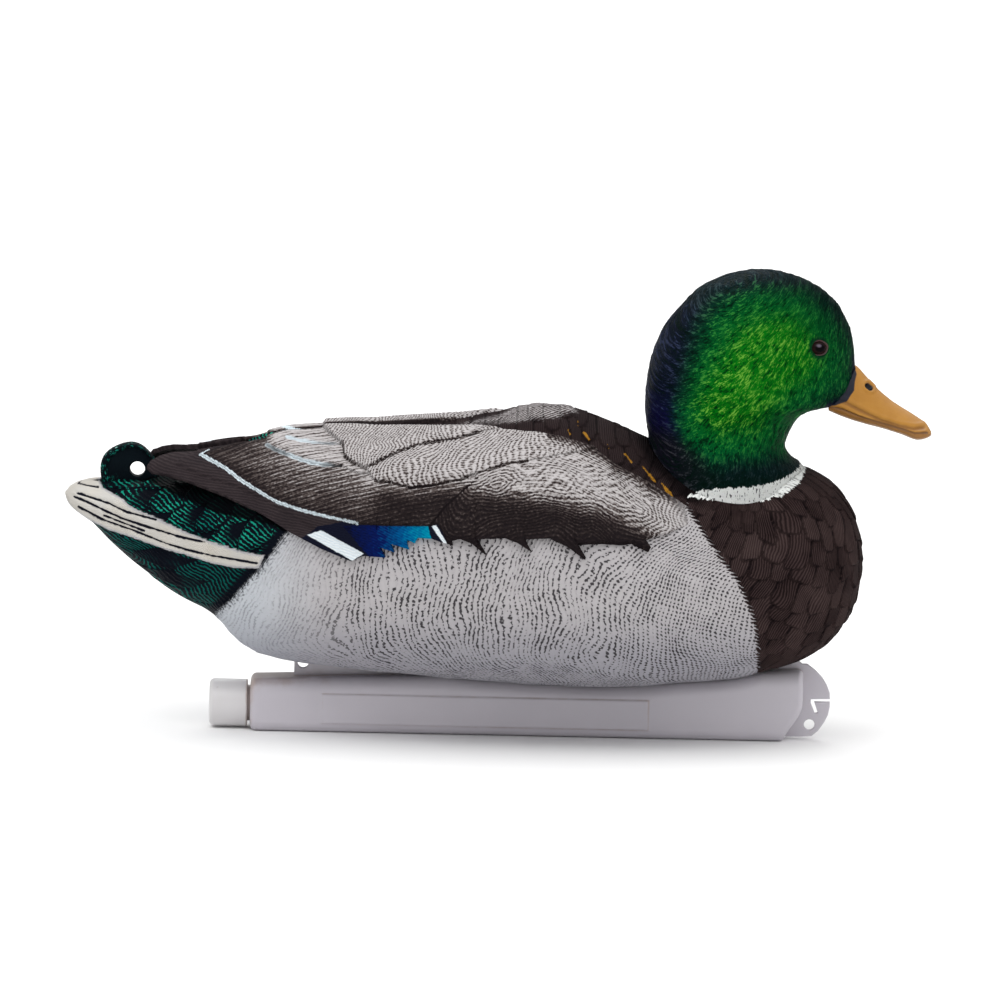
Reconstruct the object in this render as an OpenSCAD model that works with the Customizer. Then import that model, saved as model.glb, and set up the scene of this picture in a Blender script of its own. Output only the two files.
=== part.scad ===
// Floating duck decoy, mallard drake: hollow body, swivel head and a hollow keel with a screw cap.
// +X points to the bill, +Z up, Z = 0 is the flat underside of the keel.

/* [Body] */

// Length from tail tip to breast
body_l = 369; // [340:1:395]

// Widest part of the body
body_w = 150; // [130:1:170]

// Wall of the moulded skins
skin_t = 2.2; // [1.6:0.1:3.5]

// How far the folded wings stand out from the flank
wing_step = 2.6; // [0.5:0.1:4]

/* [Head] */

// Radius of the round neck where it enters the body
neck_r = 35.9; // [33:0.1:38]

// Radius of the spigot the head turns on
spigot_r = 20; // [16:0.5:24]

// Radius of each eye
eye_r = 3.6; // [3:0.1:5]

/* [Keel] */

// Length of the hollow keel
keel_l = 255.6; // [240:0.2:270]

// Width of the keel
keel_w = 28; // [24:0.5:34]

// Height of the keel at its rear end
keel_h_rear = 24.2; // [22:0.1:28]

// Height of the keel at its front end
keel_h_front = 32.9; // [28:0.1:38]

// Wall of the keel
keel_t = 1.8; // [1.2:0.1:2.5]

// Thickness of the flange in the middle plane
web_t = 3.2; // [2:0.1:4]

// Radius of the hole for the anchor line
line_hole_r = 2.5; // [2:0.1:3]

/* [Screw cap] */

// Outer radius of the cap
cap_r = 11; // [10:0.1:12]

// Length of the cap
cap_l = 17.6; // [15:0.1:20]

// Outer radius of the filling neck
filler_r = 8.8; // [8:0.1:9.5]

/* [Hidden] */
$fn = 72;
e = 0.01;

body_x0 = -199.8;
body_x1 = body_x0 + body_l;
tail_l = 9;
breast_l = 40;
axis_x = 105.2;
seat_z = 113.5;
floor_t = 3;
keel_x0 = -112.3;
keel_x1 = keel_x0 + keel_l;
cap_z = 11.3;
hook_x = -166.4;
hook_z = 119.9;
clip_x = [22, 45, 66];
eye_x = 147.4;
eye_z = 185.7;

// Centre line of the back and rump, [x, z]
back_line = [[-200, 109.5], [-190, 113], [-175, 114], [-160, 115.5], [-145, 119], [-130, 124],
             [-115, 131], [-105, 134.8], [-89, 136.8], [-70, 138.4], [-50, 140.2], [-32, 141.6],
             [-14, 143.4], [0, 146.4], [10, 150], [22, 152.2],
             [34, 151.5], [46, 148], [59, 143.3], [70, 139], [90, 135], [110, 131.5],
             [129, 129.2], [170, 129]];
// Centre line of the belly, [x, z]
belly_line = [[-200, 104], [-190, 98], [-178, 86], [-167, 76.5], [-156, 68.5], [-145, 61],
              [-133, 55], [-126, 49.5], [-120, 42.5], [-112, 37], [-103, 34.2], [-90, 32.4],
              [-70, 30.9], [-40, 28.8], [-10, 26.8], [20, 25.5], [50, 24.8], [68, 25.6],
              [86, 27.4], [105, 28.9], [117, 30.8], [129, 34], [144, 36.2], [170, 37]];
// Half width in plan for a 150 mm wide body, [x, y]
plan_line = [[-200, 15], [-190, 19], [-175, 25], [-160, 30], [-140, 36], [-120, 45],
             [-100, 53.5], [-70, 63], [-40, 70], [0, 74.4], [30, 75], [60, 73.5], [90, 69.5],
             [115, 63], [130, 58.5], [150, 53], [170, 48]];
// Height of the widest point, [x, z]
waist_line = [[-200, 108], [-180, 103], [-160, 99], [-130, 95], [-100, 92], [-60, 88],
              [0, 84], [60, 82], [110, 82], [140, 83.5], [170, 84]];
// Roundness of the upper half, 2 is an ellipse, [x, power]
round_line = [[-200, 2.2], [-100, 2.2], [-20, 2.3], [30, 2.05], [60, 1.6], [77, 1.35],
              [105, 1.35], [125, 1.45], [145, 1.9], [170, 2.05]];
// Lower edge of the folded wing, [x, z]
wing_line = [[-200, 100], [-95, 98], [-77, 91.5], [-65, 89.6], [-31, 95], [-6, 94], [40, 94],
             [71, 96.5], [90, 103], [110, 108], [170, 110]];
// Front of the head above the neck seat, [z, x]
face_line = [[113, 141.1], [125, 141.1], [127.3, 140.9], [131.8, 135.6], [136.9, 132.8], [144, 134.6],
             [151, 139], [154.5, 146], [157, 156], [163.3, 162.4], [170, 164], [176.3, 163.7],
             [191.2, 161.5], [202.8, 156.1], [212, 152.6], [219, 151]];
// Back of the head, [z, x]
nape_line = [[113, 69.3], [127.3, 69.3], [140.5, 69.3], [147.2, 68.1], [156.6, 67.4],
             [175.3, 69.4], [191.8, 76], [202.8, 84.3], [212, 87.8], [219, 91]];
// Half width of the head, [z, y]
cheek_line = [[113, 35.9], [125, 35.9], [127.3, 35.7], [131.8, 34.2], [137, 32], [145, 30.2], [155, 30.4],
              [165, 31.4], [175, 31.6], [190, 29.8], [203, 26.6], [219, 24]];
// Upper line of the bill, [x, z]
culmen_line = [[150, 172], [158, 176], [164.1, 174.8], [169.1, 169.9], [173, 165.6],
               [181.2, 158.8], [190.5, 153.1], [196, 150], [200, 148]];
// Lower line of the bill, [x, z]
jaw_line = [[150, 154.6], [158.2, 151.2], [167.5, 148.3], [177.3, 146.1], [186.6, 143.4],
            [193.3, 141], [200, 141.5]];
// Half width of the bill, [x, y]
bill_plan = [[150, 10.5], [164, 10.2], [176, 10], [188, 11.2], [200, 12]];
// Outline of the line-tie plate ahead of the keel, [x, z]
tie_outline = [[136, 34.4], [137.5, 34.7], [140.2, 37.1], [143, 34.9], [145.3, 34.9],
               [152.6, 28.5], [156, 21.6], [156.1, 15.1], [153.8, 8], [147.9, 1.3],
               [142, 0.6], [132, 0.6]];

// Smooth curve through the points p at position x
function seg(p, x, i = 0) = (i >= len(p) - 2 || x < p[i + 1][0]) ? i : seg(p, x, i + 1);
function chord(p, i, j) = (p[j][1] - p[i][1]) / (p[j][0] - p[i][0]);
function slope(p, i) = chord(p, max(i - 1, 0), min(i + 1, len(p) - 1));
function hermite(a, b, ma, mb, h, t) =
    (2 * t * t * t - 3 * t * t + 1) * a + (t * t * t - 2 * t * t + t) * h * ma
    + (3 * t * t - 2 * t * t * t) * b + (t * t * t - t * t) * h * mb;
function curve(p, x) =
    let (i = seg(p, x), h = p[i + 1][0] - p[i][0], t = (x - p[i][0]) / h)
    hermite(p[i][1], p[i + 1][1], slope(p, i), slope(p, i + 1), h, t);
function ramp(a, b, x) = let (t = min(1, max(0, (x - a) / (b - a)))) t * t * (3 - 2 * t);
function closing(u, n) = pow(max(0, 1 - pow(max(0, min(1, u)), n)), 1 / n);

// Body section at x, reduced by the skin thickness d
function body_close(x, d) =
    closing((x - (body_x1 - breast_l)) / (breast_l - d), 2.1)
    * closing((body_x0 + tail_l - x) / tail_l, 2);
function ridge(x, y) =
    let (yr = 9 + 26 * ramp(-90, 25, x))
    3.2 * ramp(-150, -112, x) * (1 - ramp(5, 50, x)) * exp(-pow((abs(y) - yr) / (5 + yr / 4), 2));
function body_point(x, a, d, w) =
    let (k = body_close(x, d), zm = curve(waist_line, x), up = a > 0,
         n = up ? curve(round_line, x) : 2.2 + 0.5 * ramp(-120, -70, x) - 0.3 * ramp(90, 150, x),
         hy = (curve(plan_line, x) * body_w / 150 - d) * k + w,
         hz = (up ? curve(back_line, x) - zm - d : zm - curve(belly_line, x) - d) * k
              + (up ? w * 0.6 : 0),
         y = hy * pow(abs(cos(a)), 2 / n), z = hz * pow(abs(sin(a)), 2 / n))
    [x, y, zm + (up ? z + (d == 0 ? ridge(x, y) : 0) : -z)];
function wing_w(x) = wing_step * ramp(-125, -85, x) * (1 - ramp(62, 98, x));
function wing_angle(x) =
    let (zm = curve(waist_line, x), s = (curve(wing_line, x) - zm) / (curve(back_line, x) - zm))
    asin(pow(max(0.02, min(0.9, s)), curve(round_line, x) / 2));
function body_half(x, d, m, k) =
    let (aw = wing_angle(x), w = d == 0 ? wing_w(x) : 0)
    [for (i = [0:m + k]) i <= m ? body_point(x, 90 + (aw - 90) * i / m, d, w)
        : body_point(x, (aw - 2) + (-90 - aw + 2) * (i - m - 1) / (k - 1), d, 0)];
function mirrored(h) = concat(h, [for (i = [len(h) - 2:-1:1]) [h[i][0], -h[i][1], h[i][2]]]);
function body_stations(x0, x1, lt, lf, nt, nm, nf) = concat(
    [for (i = [0:nt - 1]) x0 + lt * (1 - sin(90 - 90 * (i + 0.3) / nt))],
    [for (i = [0:nm]) x0 + lt + (x1 - lf - x0 - lt) * i / nm],
    [for (i = [1:nf]) x1 - lf + lf * sin(88 * i / nf)]);

// Closed skin over a list of rings with the same number of points
function mean(r) = [for (j = [0:2]) [for (p = r) p[j]] * [for (p = r) 1] / len(r)];
module skin(rings) {
    n = len(rings[0]);
    m = len(rings);
    points = concat([for (r = rings) each r], [mean(rings[0])], [mean(rings[m - 1])]);
    sides = [for (i = [0:m - 2]) for (j = [0:n - 1]) each
        let (a = i * n + j, b = i * n + (j + 1) % n)
        [[a, b, b + n], [a, b + n, a + n]]];
    ends = [for (j = [0:n - 1]) each
        [[m * n, (j + 1) % n, j], [m * n + 1, (m - 1) * n + j, (m - 1) * n + (j + 1) % n]]];
    polyhedron(points, concat(sides, ends), convexity = 8);
}

module body_outer() {
    xs = body_stations(body_x0, body_x1, tail_l, breast_l, 4, 50, 11);
    skin([for (x = xs) mirrored(body_half(x, 0, 10, 15))]);
}

module body_inner() {
    xs = [for (i = [0:26]) -158 + (body_x1 - skin_t - 1 + 158) * sin(90 * i / 27)];
    skin([for (x = xs) mirrored(body_half(x, skin_t, 6, 8))]);
}

// One folded primary blade lying on the rump, s = 1 left, s = -1 right
function blade_ring(x, s) =
    let (u = (x + 162.5) / 60, k = closing(1 - u * 4.2, 2),
         zt = 131 + 2.6 * ramp(-162, -144, x) + 4.4 * ramp(-138, -104, x) - 8 * ramp(-102, -78, x),
         zl = 112.5 - 10 * ramp(-162, -125, x) - 5 * ramp(-125, -90, x),
         yt = 9, yl = 31 + 23 * ramp(-160, -95, x),
         c = [(yt + yl) / 2, (zt + zl) / 2], h = [(yl - yt) / 2, (zl - zt) / 2],
         t = 1.2 + 1.6 * ramp(-162, -130, x), q = [-h[1], h[0]] / norm(h))
    [for (i = [0:11]) let (a = -i * 30 * s)
        [x, s * (c[0] + h[0] * k * cos(a) + q[0] * t * sin(a)),
         c[1] + h[1] * k * cos(a) + q[1] * t * sin(a)]];
module wing_blade(s) {
    xs = concat([for (i = [0:5]) -162.4 + 13 * (1 - cos(15 * (i + 0.4)))],
        [for (i = [1:8]) -149 + 71 * i / 8]);
    skin([for (x = xs) blade_ring(x, s)]);
}

// Curled tail feathers, a thick disc with a round hole
module tail_curl() {
    translate([hook_x - 4, 0, hook_z - 1.5])
        rotate([90, 0, 0])
            rotate_extrude()
                polygon([[0, -4.5], [11.6, -4.5], [12.8, -3.6], [13.4, -2], [13.4, 2],
                         [12.8, 3.6], [11.6, 4.5], [0, 4.5]]);
}

module web_slot(w, lift) {
    translate([0, w / 2, 0])
        rotate([90, 0, 0])
            linear_extrude(w)
                polygon(concat([for (x = [-93:9:6]) [x, curve(belly_line, x) + lift]],
                    [[6, 15], [-93, 15]]));
}

module body_shell() {
    color([0.66, 0.65, 0.66])
        difference() {
            union() {
                body_outer();
                wing_blade(1);
                wing_blade(-1);
                tail_curl();
            }
            difference() {
                body_inner();
                translate([axis_x, 0, seat_z - floor_t])
                    cylinder(r = neck_r + 3, h = 60);
                web_slot(web_t + 5, 6.8);
            }
            translate([axis_x, 0, seat_z])
                cylinder(r = neck_r + 0.3, h = 60);
            translate([axis_x, 0, seat_z - floor_t - 1])
                cylinder(r = spigot_r + 0.08, h = floor_t + 2);
            translate([hook_x, 20, hook_z])
                rotate([90, 0, 0])
                    cylinder(r = 3.5, h = 40);
            web_slot(web_t + 0.6, 4.4);
            for (x = clip_x)
                translate([x, 0, 10])
                    cylinder(r = 4.15, h = 20);
        }
}

// Head section at height z, reduced by d
function head_ring(z, d, n) =
    let (k = closing((z - 200) / (18.4 - d), 2), xf = curve(face_line, z),
         xr = curve(nape_line, z), c = (xf + xr) / 2,
         a = ((xf - xr) / 2 - d) * k, b = (curve(cheek_line, z) - d) * k,
         tp = 0.2 * ramp(150, 172, z))
    [for (i = [0:n - 1]) let (f = -i * 360 / n)
        [c + a * cos(f), b * sin(f) * (1 - tp * cos(f)), z]];
function head_levels(z0, z1, n, m) = concat(
    [for (i = [0:n]) z0 + (200 - z0) * i / n],
    [for (i = [1:m]) 200 + (z1 - 200) * sin(88 * i / m)]);

module head_outer() {
    skin([for (z = head_levels(seat_z + 0.4, 218.4, 34, 9)) head_ring(z, 0, 40)]);
}

module head_inner() {
    skin([for (z = head_levels(seat_z + 3.6, 218.4 - skin_t, 14, 6)) head_ring(z, skin_t + 0.2, 24)]);
}

// Bill, s grows it for the socket
function bill_ring(x, s) =
    let (k = closing((x - 189) / (11 + s), 2.2), zt = curve(culmen_line, x),
         zb = curve(jaw_line, x), zm = zb + (zt - zb) * 0.3,
         hy = curve(bill_plan, x) * k + s)
    [for (i = [0:23]) let (a = -i * 15, up = sin(a) >= 0, n = up ? 1.7 : 2.6,
            hz = (up ? zt - zm : zm - zb) * k + s)
        [x, hy * sign(cos(a)) * pow(abs(cos(a)), 2 / n),
         zm + hz * sign(sin(a)) * pow(abs(sin(a)), 2 / n)]];
module bill_body(x0, s) {
    xs = concat([for (i = [0:11]) x0 + (189 - x0) * i / 11],
        [for (i = [1:6]) 189 + (11 + s) * sin(86 * i / 6)]);
    skin([for (x = xs) bill_ring(x, s)]);
}

function eye_y() =
    let (z = eye_z, xf = curve(face_line, z), xr = curve(nape_line, z),
         cf = (eye_x - (xf + xr) / 2) / (xf - xr) * 2)
    curve(cheek_line, z) * sin(acos(cf)) * (1 - 0.2 * cf);
module at_eye(s) {
    translate([eye_x, s * eye_y(), eye_z])
        rotate([0, 0, s * 58])
            translate([-eye_r + 1.3, 0, 0])
                children();
}

module head_shell() {
    color([0.02, 0.28, 0.12])
        difference() {
            union() {
                head_outer();
                translate([axis_x, 0, seat_z - floor_t - 6.5])
                    cylinder(r = spigot_r, h = floor_t + 8.5);
            }
            head_inner();
            translate([axis_x, 0, seat_z - floor_t - 7])
                cylinder(r = spigot_r - 4, h = 13);
            translate([axis_x, 0, seat_z - floor_t - 3.4])
                difference() {
                    cylinder(r = spigot_r + 2, h = 3.2);
                    translate([0, 0, -1])
                        cylinder(r = spigot_r - 2, h = 6);
                }
            bill_body(152, 0.15);
            for (s = [-1, 1])
                at_eye(s) {
                    sphere(r = eye_r + 0.12);
                    translate([-7, 0, 0])
                        rotate([0, 90, 0])
                            cylinder(r = 1.6, h = 7);
                }
        }
}

module bill() {
    color([0.72, 0.5, 0.2])
        difference() {
            bill_body(152.2, 0);
            for (s = [-1, 1])
                translate([171.2, s * 7.4, 163.4])
                    rotate([s * -38, 32, 0])
                        cylinder(r = 1.5, h = 6, center = true);
        }
}

module eye(s) {
    color([0.08, 0.05, 0.04])
        at_eye(s) {
            sphere(r = eye_r);
            translate([-6.5, 0, 0])
                rotate([0, 90, 0])
                    cylinder(r = 1.45, h = 6.5);
        }
}

module eye_left() {
    eye(1);
}

module eye_right() {
    eye(-1);
}

// Split snap ring that keeps the head in its seat
module neck_ring() {
    color([0.85, 0.84, 0.8])
        translate([axis_x, 0, seat_z - floor_t - 3.3])
            difference() {
                cylinder(r = spigot_r + 5, h = 3);
                translate([0, 0, -1])
                    cylinder(r = spigot_r - 1.88, h = 5);
                translate([-spigot_r - 10, -4, -1])
                    cube([20, 8, 5]);
            }
}

// Rounded bar along X, upper or lower corners rounded by r
module keel_bar(w, h, r) {
    rotate([90, 0, 90])
        linear_extrude(keel_l + 40)
            union() {
                translate([-w / 2 + r, 0])
                    square([w - 2 * r, h]);
                translate([-w / 2, r])
                    square([w, h - 2 * r]);
                for (y = [-1, 1])
                    for (z = [r, h - r])
                        translate([y * (w / 2 - r), z])
                            circle(r = r);
            }
}

function keel_top(x) =
    min(keel_h_rear + (keel_h_front - keel_h_rear) * (x - keel_x0) / keel_l,
        curve(belly_line, x) - 0.4);

// Keel solid, drawn in by d on every side
module keel_solid(d) {
    intersection() {
        translate([0, keel_w / 2 + 1, 0])
            rotate([90, 0, 0])
                linear_extrude(keel_w + 2)
                    polygon(concat(
                        [for (i = [0:32]) let (x = keel_x0 + d + (keel_l - 2 * d) * i / 32)
                            [x, keel_top(x) - d]],
                        [[keel_x1 - d, 14 + d / 2], [keel_x1 - 9.6 - d / 2, d], [keel_x0 + d, d]]));
        translate([keel_x0 - 20, 0, d])
            keel_bar(keel_w - 2 * d, 60, 5 - d / 2);
        translate([keel_x0, 0, keel_h_rear - d])
            rotate([0, -atan((keel_h_front - keel_h_rear) / keel_l), 0])
                translate([-20, 0, -60])
                    keel_bar(keel_w - 2 * d, 60, 6.5 - d / 2);
    }
}

module flat_plate(t, points) {
    translate([0, t / 2, 0])
        rotate([90, 0, 0])
            linear_extrude(t)
                polygon(points);
}

module keel_shell() {
    color([0.86, 0.85, 0.87])
        difference() {
            union() {
                keel_solid(0);
                translate([keel_x0 - 14.9, 0, cap_z])
                    rotate([0, 90, 0])
                        cylinder(r = filler_r, h = 16.5);
                flat_plate(web_t, concat([for (x = [-92.3:8.7:4]) [x, curve(belly_line, x) + 4]],
                    [[3.4, 20], [-92.3, 20]]));
                flat_plate(web_t, tie_outline);
                for (s = [-1, 1])
                    translate([-3.5, s * (keel_w / 2 - 0.2), 11.3])
                        cube([151, 1.8, 14], center = true);
            }
            keel_solid(keel_t);
            translate([keel_x0 - 16, 0, cap_z])
                rotate([0, 90, 0])
                    cylinder(r = filler_r - 2.3, h = 20);
            for (x = clip_x)
                translate([x, 0, 17])
                    cylinder(r = 4.15, h = 10);
            translate([146.8, 10, 6.6])
                rotate([90, 0, 0])
                    cylinder(r = line_hole_r, h = 20);
            translate([-88.2, 10, 30.9])
                rotate([90, 0, 0])
                    cylinder(r = 2.6, h = 20);
            flat_plate(10, [[158, 18.7], [147.1, 18.5], [147.1, 16.9], [149.1, 11.9],
                [150.7, 12.1], [148.8, 17.4], [158, 17.5]]);
        }
}

// Cap with a rounded outer rim and a stepped bore
module keel_cap() {
    color([0.9, 0.89, 0.88])
        translate([keel_x0 - 1.4, 0, cap_z])
            rotate([0, -90, 0])
                rotate_extrude()
                    polygon(concat([[filler_r + 0.3, 0], [cap_r - 0.4, 0], [cap_r, 0.5]],
                        [for (a = [0:15:90]) [cap_r - 1.8 + 1.8 * cos(a), cap_l - 1.8 + 1.8 * sin(a)]],
                        [[0, cap_l], [0, cap_l - 2.6], [filler_r + 0.3, cap_l - 2.6]]));
}

module cap_seal() {
    color([0.25, 0.25, 0.25])
        translate([keel_x0 - 15, 0, cap_z])
            rotate([0, -90, 0])
                difference() {
                    cylinder(r = filler_r, h = 1.2);
                    translate([0, 0, -1])
                        cylinder(r = 4.5, h = 4);
                }
}

module ballast() {
    color([0.6, 0.52, 0.4])
        intersection() {
            keel_solid(keel_t + 0.1);
            translate([keel_x0 + 4, -keel_w, -1])
                cube([keel_l - 10, keel_w * 2, 12.5]);
        }
}

module keel_clips() {
    color([0.3, 0.3, 0.31])
        for (x = clip_x)
            translate([x, 0, curve(belly_line, x)])
                union() {
                    translate([0, 0, -5])
                        cylinder(r = 4, h = 10);
                    translate([0, 0, -5])
                        cylinder(r = 6.5, h = 2.4);
                    translate([0, 0, 3.1])
                        cylinder(r = 6.5, h = 2.2);
                }
}

body_shell();
head_shell();
bill();
eye_left();
eye_right();
neck_ring();
keel_shell();
keel_cap();
cap_seal();
ballast();
keel_clips();
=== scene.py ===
"""Floating duck decoy. The CAD nodes are the frame; the moulded and painted surfaces are built over them.
Lengths are millimetres until mesh_from_grid() turns them into metres. Side 1 is the left, side -1 the right.
Surfaces are grids of points. Paint boundaries are outlines in (x, sight height), the height at which a point
appears from the side, seen SIGHT above the level. Grids carry the distances to them as point attributes."""

import math
from types import SimpleNamespace

import bpy
import numpy as np
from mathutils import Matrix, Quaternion, Vector


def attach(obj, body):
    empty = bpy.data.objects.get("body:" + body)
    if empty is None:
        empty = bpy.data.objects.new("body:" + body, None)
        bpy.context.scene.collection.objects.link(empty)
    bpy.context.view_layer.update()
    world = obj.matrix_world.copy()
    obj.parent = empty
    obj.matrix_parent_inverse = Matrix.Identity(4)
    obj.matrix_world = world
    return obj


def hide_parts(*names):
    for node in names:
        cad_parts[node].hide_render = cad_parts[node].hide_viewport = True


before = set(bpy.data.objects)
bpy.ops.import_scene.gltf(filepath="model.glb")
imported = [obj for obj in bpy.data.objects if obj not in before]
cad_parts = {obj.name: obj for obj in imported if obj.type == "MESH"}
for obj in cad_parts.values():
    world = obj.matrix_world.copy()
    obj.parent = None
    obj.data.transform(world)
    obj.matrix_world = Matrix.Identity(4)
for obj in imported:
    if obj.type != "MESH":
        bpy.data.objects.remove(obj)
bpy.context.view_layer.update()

MM = 0.001
TAU = 2 * math.pi
SIDES = ((1, "left"), (-1, "right"))
SIGHT = math.radians(8)  # elevation of the line of sight

# ---------------------------------------------------------------- curves of the moulds

X0, X1 = -199.8, 169.2
TAIL_L, BREAST_L = 9.0, 40.0
AXIS_X, SEAT_Z, NECK_R = 105.2, 113.5, 35.9
KEEL_X0, KEEL_X1, KEEL_W = -112.3, 143.3, 28.0
KEEL_H0, KEEL_H1 = 24.2, 32.9
CAP_Z, CAP_R, CAP_L = 11.3, 11.0, 17.6

BACK = [(-200, 109.5), (-190, 113), (-175, 114), (-160, 115.5), (-145, 119), (-130, 124),
        (-115, 131), (-105, 134.8), (-89, 136.8), (-70, 138.4), (-50, 140.2), (-32, 141.6),
        (-14, 143.4), (0, 146.4), (10, 150), (22, 152.2), (34, 151.5), (46, 148), (59, 143.3),
        (70, 139), (90, 135), (110, 131.5), (129, 129.2), (170, 129)]
BELLY = [(-200, 104), (-190, 98), (-178, 86), (-167, 76.5), (-156, 68.5), (-145, 61),
         (-133, 55), (-126, 49.5), (-120, 42.5), (-112, 37), (-103, 34.2), (-90, 32.4),
         (-70, 30.9), (-40, 28.8), (-10, 26.8), (20, 25.5), (50, 24.8), (68, 25.6),
         (86, 27.4), (105, 28.9), (117, 30.8), (129, 34), (144, 36.2), (170, 37)]
PLAN = [(-200, 15), (-190, 19), (-175, 25), (-160, 30), (-140, 36), (-120, 45), (-100, 53.5),
        (-70, 63), (-40, 70), (0, 74.4), (30, 75), (60, 73.5), (90, 69.5), (115, 63),
        (130, 58.5), (150, 53), (170, 48)]
WAIST = [(-200, 108), (-180, 103), (-160, 99), (-130, 95), (-100, 92), (-60, 88), (0, 84),
         (60, 82), (110, 82), (140, 83.5), (170, 84)]
ROUND = [(-200, 2.2), (-100, 2.2), (-20, 2.3), (30, 2.05), (60, 1.6), (77, 1.35),
         (105, 1.35), (125, 1.45), (145, 1.9), (170, 2.05)]
FACE = [(113, 141.1), (125, 141.1), (127.3, 140.9), (131.8, 135.6), (136.9, 132.8), (144, 134.6),
        (151, 139), (154.5, 146), (157, 156), (163.3, 162.4), (170, 164), (176.3, 163.7),
        (191.2, 161.5), (202.8, 156.1), (212, 152.6), (219, 151)]
NAPE = [(113, 69.3), (127.3, 69.3), (140.5, 69.3), (147.2, 68.1), (156.6, 67.4), (175.3, 69.4),
        (191.8, 76), (202.8, 84.3), (212, 87.8), (219, 91)]
CHEEK = [(113, 35.9), (125, 35.9), (127.3, 35.7), (131.8, 34.2), (137, 32), (145, 30.2),
         (155, 30.4), (165, 31.4), (175, 31.6), (190, 29.8), (203, 26.6), (219, 24)]
CULMEN = [(150, 172), (158, 176), (164.1, 174.8), (169.1, 169.9), (173, 165.6), (181.2, 158.8),
          (190.5, 153.1), (196, 150), (200, 148)]
JAW = [(150, 154.6), (158.2, 151.2), (167.5, 148.3), (177.3, 146.1), (186.6, 143.4),
       (193.3, 141), (200, 141.5)]
BILL_PLAN = [(150, 10.5), (164, 10.2), (176, 10), (188, 11.2), (200, 12)]


def curve(points, x):
    """Smooth curve through control points, at the positions x."""
    p = np.asarray(points, float)
    t, v = p[:, 0], p[:, 1]
    n = np.arange(len(t))
    a, b = np.maximum(n - 1, 0), np.minimum(n + 1, len(t) - 1)
    m = (v[b] - v[a]) / (t[b] - t[a])
    x = np.asarray(x, float)
    i = np.clip(np.searchsorted(t, x, side="right") - 1, 0, len(t) - 2)
    h = t[i + 1] - t[i]
    u = (x - t[i]) / h
    return ((2 * u**3 - 3 * u**2 + 1) * v[i] + (u**3 - 2 * u**2 + u) * h * m[i]
            + (3 * u**2 - 2 * u**3) * v[i + 1] + (u**3 - u**2) * h * m[i + 1])


def line(points, x):
    """Straight lines through control points, at the positions x."""
    p = np.asarray(points, float)
    return np.interp(x, p[:, 0], p[:, 1])


def ramp(a, b, x):
    """0 before a to 1 past b, smoothly."""
    t = np.clip((x - a) / (b - a), 0, 1)
    return t * t * (3 - 2 * t)


def closing(u, n):
    """1 at u = 0 closing to 0 at u = 1 like the end of a rounded body."""
    return np.maximum(0, 1 - np.clip(u, 0, 1) ** n) ** (1 / n)


def mix(a, b, t):
    """a at t = 0, b at t = 1."""
    return a + (b - a) * t


def frac_noise(i, j, k=0.0):
    """A repeatable random number from 0 to 1 for whole numbers i, j."""
    v = np.sin(i * 127.1 + j * 311.7 + k * 74.7) * 43758.5453
    return v - np.floor(v)


def value_noise(u, v, k=0.0):
    """Smooth noise from -1 to 1 with features one unit across."""
    iu, iv = np.floor(u), np.floor(v)
    fu, fv = u - iu, v - iv
    fu, fv = fu * fu * (3 - 2 * fu), fv * fv * (3 - 2 * fv)
    a = mix(frac_noise(iu, iv, k), frac_noise(iu + 1, iv, k), fu)
    b = mix(frac_noise(iu, iv + 1, k), frac_noise(iu + 1, iv + 1, k), fu)
    return 2 * mix(a, b, fv) - 1


def polygon_distance(poly, x, y):
    """Signed distance to a closed outline, positive inside."""
    p = np.asarray(poly, float)
    best = np.full(x.shape, 1e9)
    inside = np.zeros(x.shape, bool)
    for (ax, ay), (bx, by) in zip(p, np.roll(p, -1, 0)):
        dx, dy = bx - ax, by - ay
        t = np.clip(((x - ax) * dx + (y - ay) * dy) / (dx * dx + dy * dy + 1e-9), 0, 1)
        best = np.minimum(best, np.hypot(x - ax - t * dx, y - ay - t * dy))
        if ay != by:
            inside ^= ((ay > y) != (by > y)) & (x < dx * (y - ay) / dy + ax)
    return np.where(inside, best, -best)


def path_distance(path, x, y):
    """(distance to an open path, how far along it from 0 to 1)."""
    p = np.asarray(path, float)
    seg = np.hypot(*np.diff(p, axis=0).T)
    start = np.concatenate([[0], np.cumsum(seg)])
    best, along = np.full(x.shape, 1e9), np.zeros(x.shape)
    for i, ((ax, ay), (bx, by)) in enumerate(zip(p[:-1], p[1:])):
        dx, dy = bx - ax, by - ay
        t = np.clip(((x - ax) * dx + (y - ay) * dy) / (dx * dx + dy * dy + 1e-9), 0, 1)
        d = np.hypot(x - ax - t * dx, y - ay - t * dy)
        along = np.where(d < best, (start[i] + t * seg[i]) / start[-1], along)
        best = np.minimum(best, d)
    return best, along


def shingles(u, v, length, width, square, jitter, seed):
    """Overlapping feathers whose tips point along u. Returns for the feather on top: distance from its
    tip edge, distance across from its middle, a random number, and the distance to the nearest edge."""
    tip = np.full(u.shape, -1.0)
    across = np.zeros(u.shape)
    ident = np.zeros(u.shape)
    row0 = np.floor(u / length)
    for k in (-2, -1, 0, 1, 2):
        row = row0 + k
        shift = 0.5 * np.mod(row, 2) + 0.25 * (frac_noise(row, 3, seed) - 0.5)
        col = np.floor(v / width + shift)
        w = v - (col + 0.5 - shift) * width
        edge = (row + 1 + jitter * (frac_noise(row, col, seed) - 0.5)) * length
        edge = edge - length * 0.55 * np.abs(2 * w / width) ** square
        d = edge - u
        new = (d > 0) & (tip < 0)
        tip = np.where(new, d, tip)
        across = np.where(new, w, across)
        ident = np.where(new, frac_noise(row, col, seed + 5), ident)
    return tip, across, ident, np.minimum(tip, width / 2 - np.abs(across))


# ---------------------------------------------------------------- meshes


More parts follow.
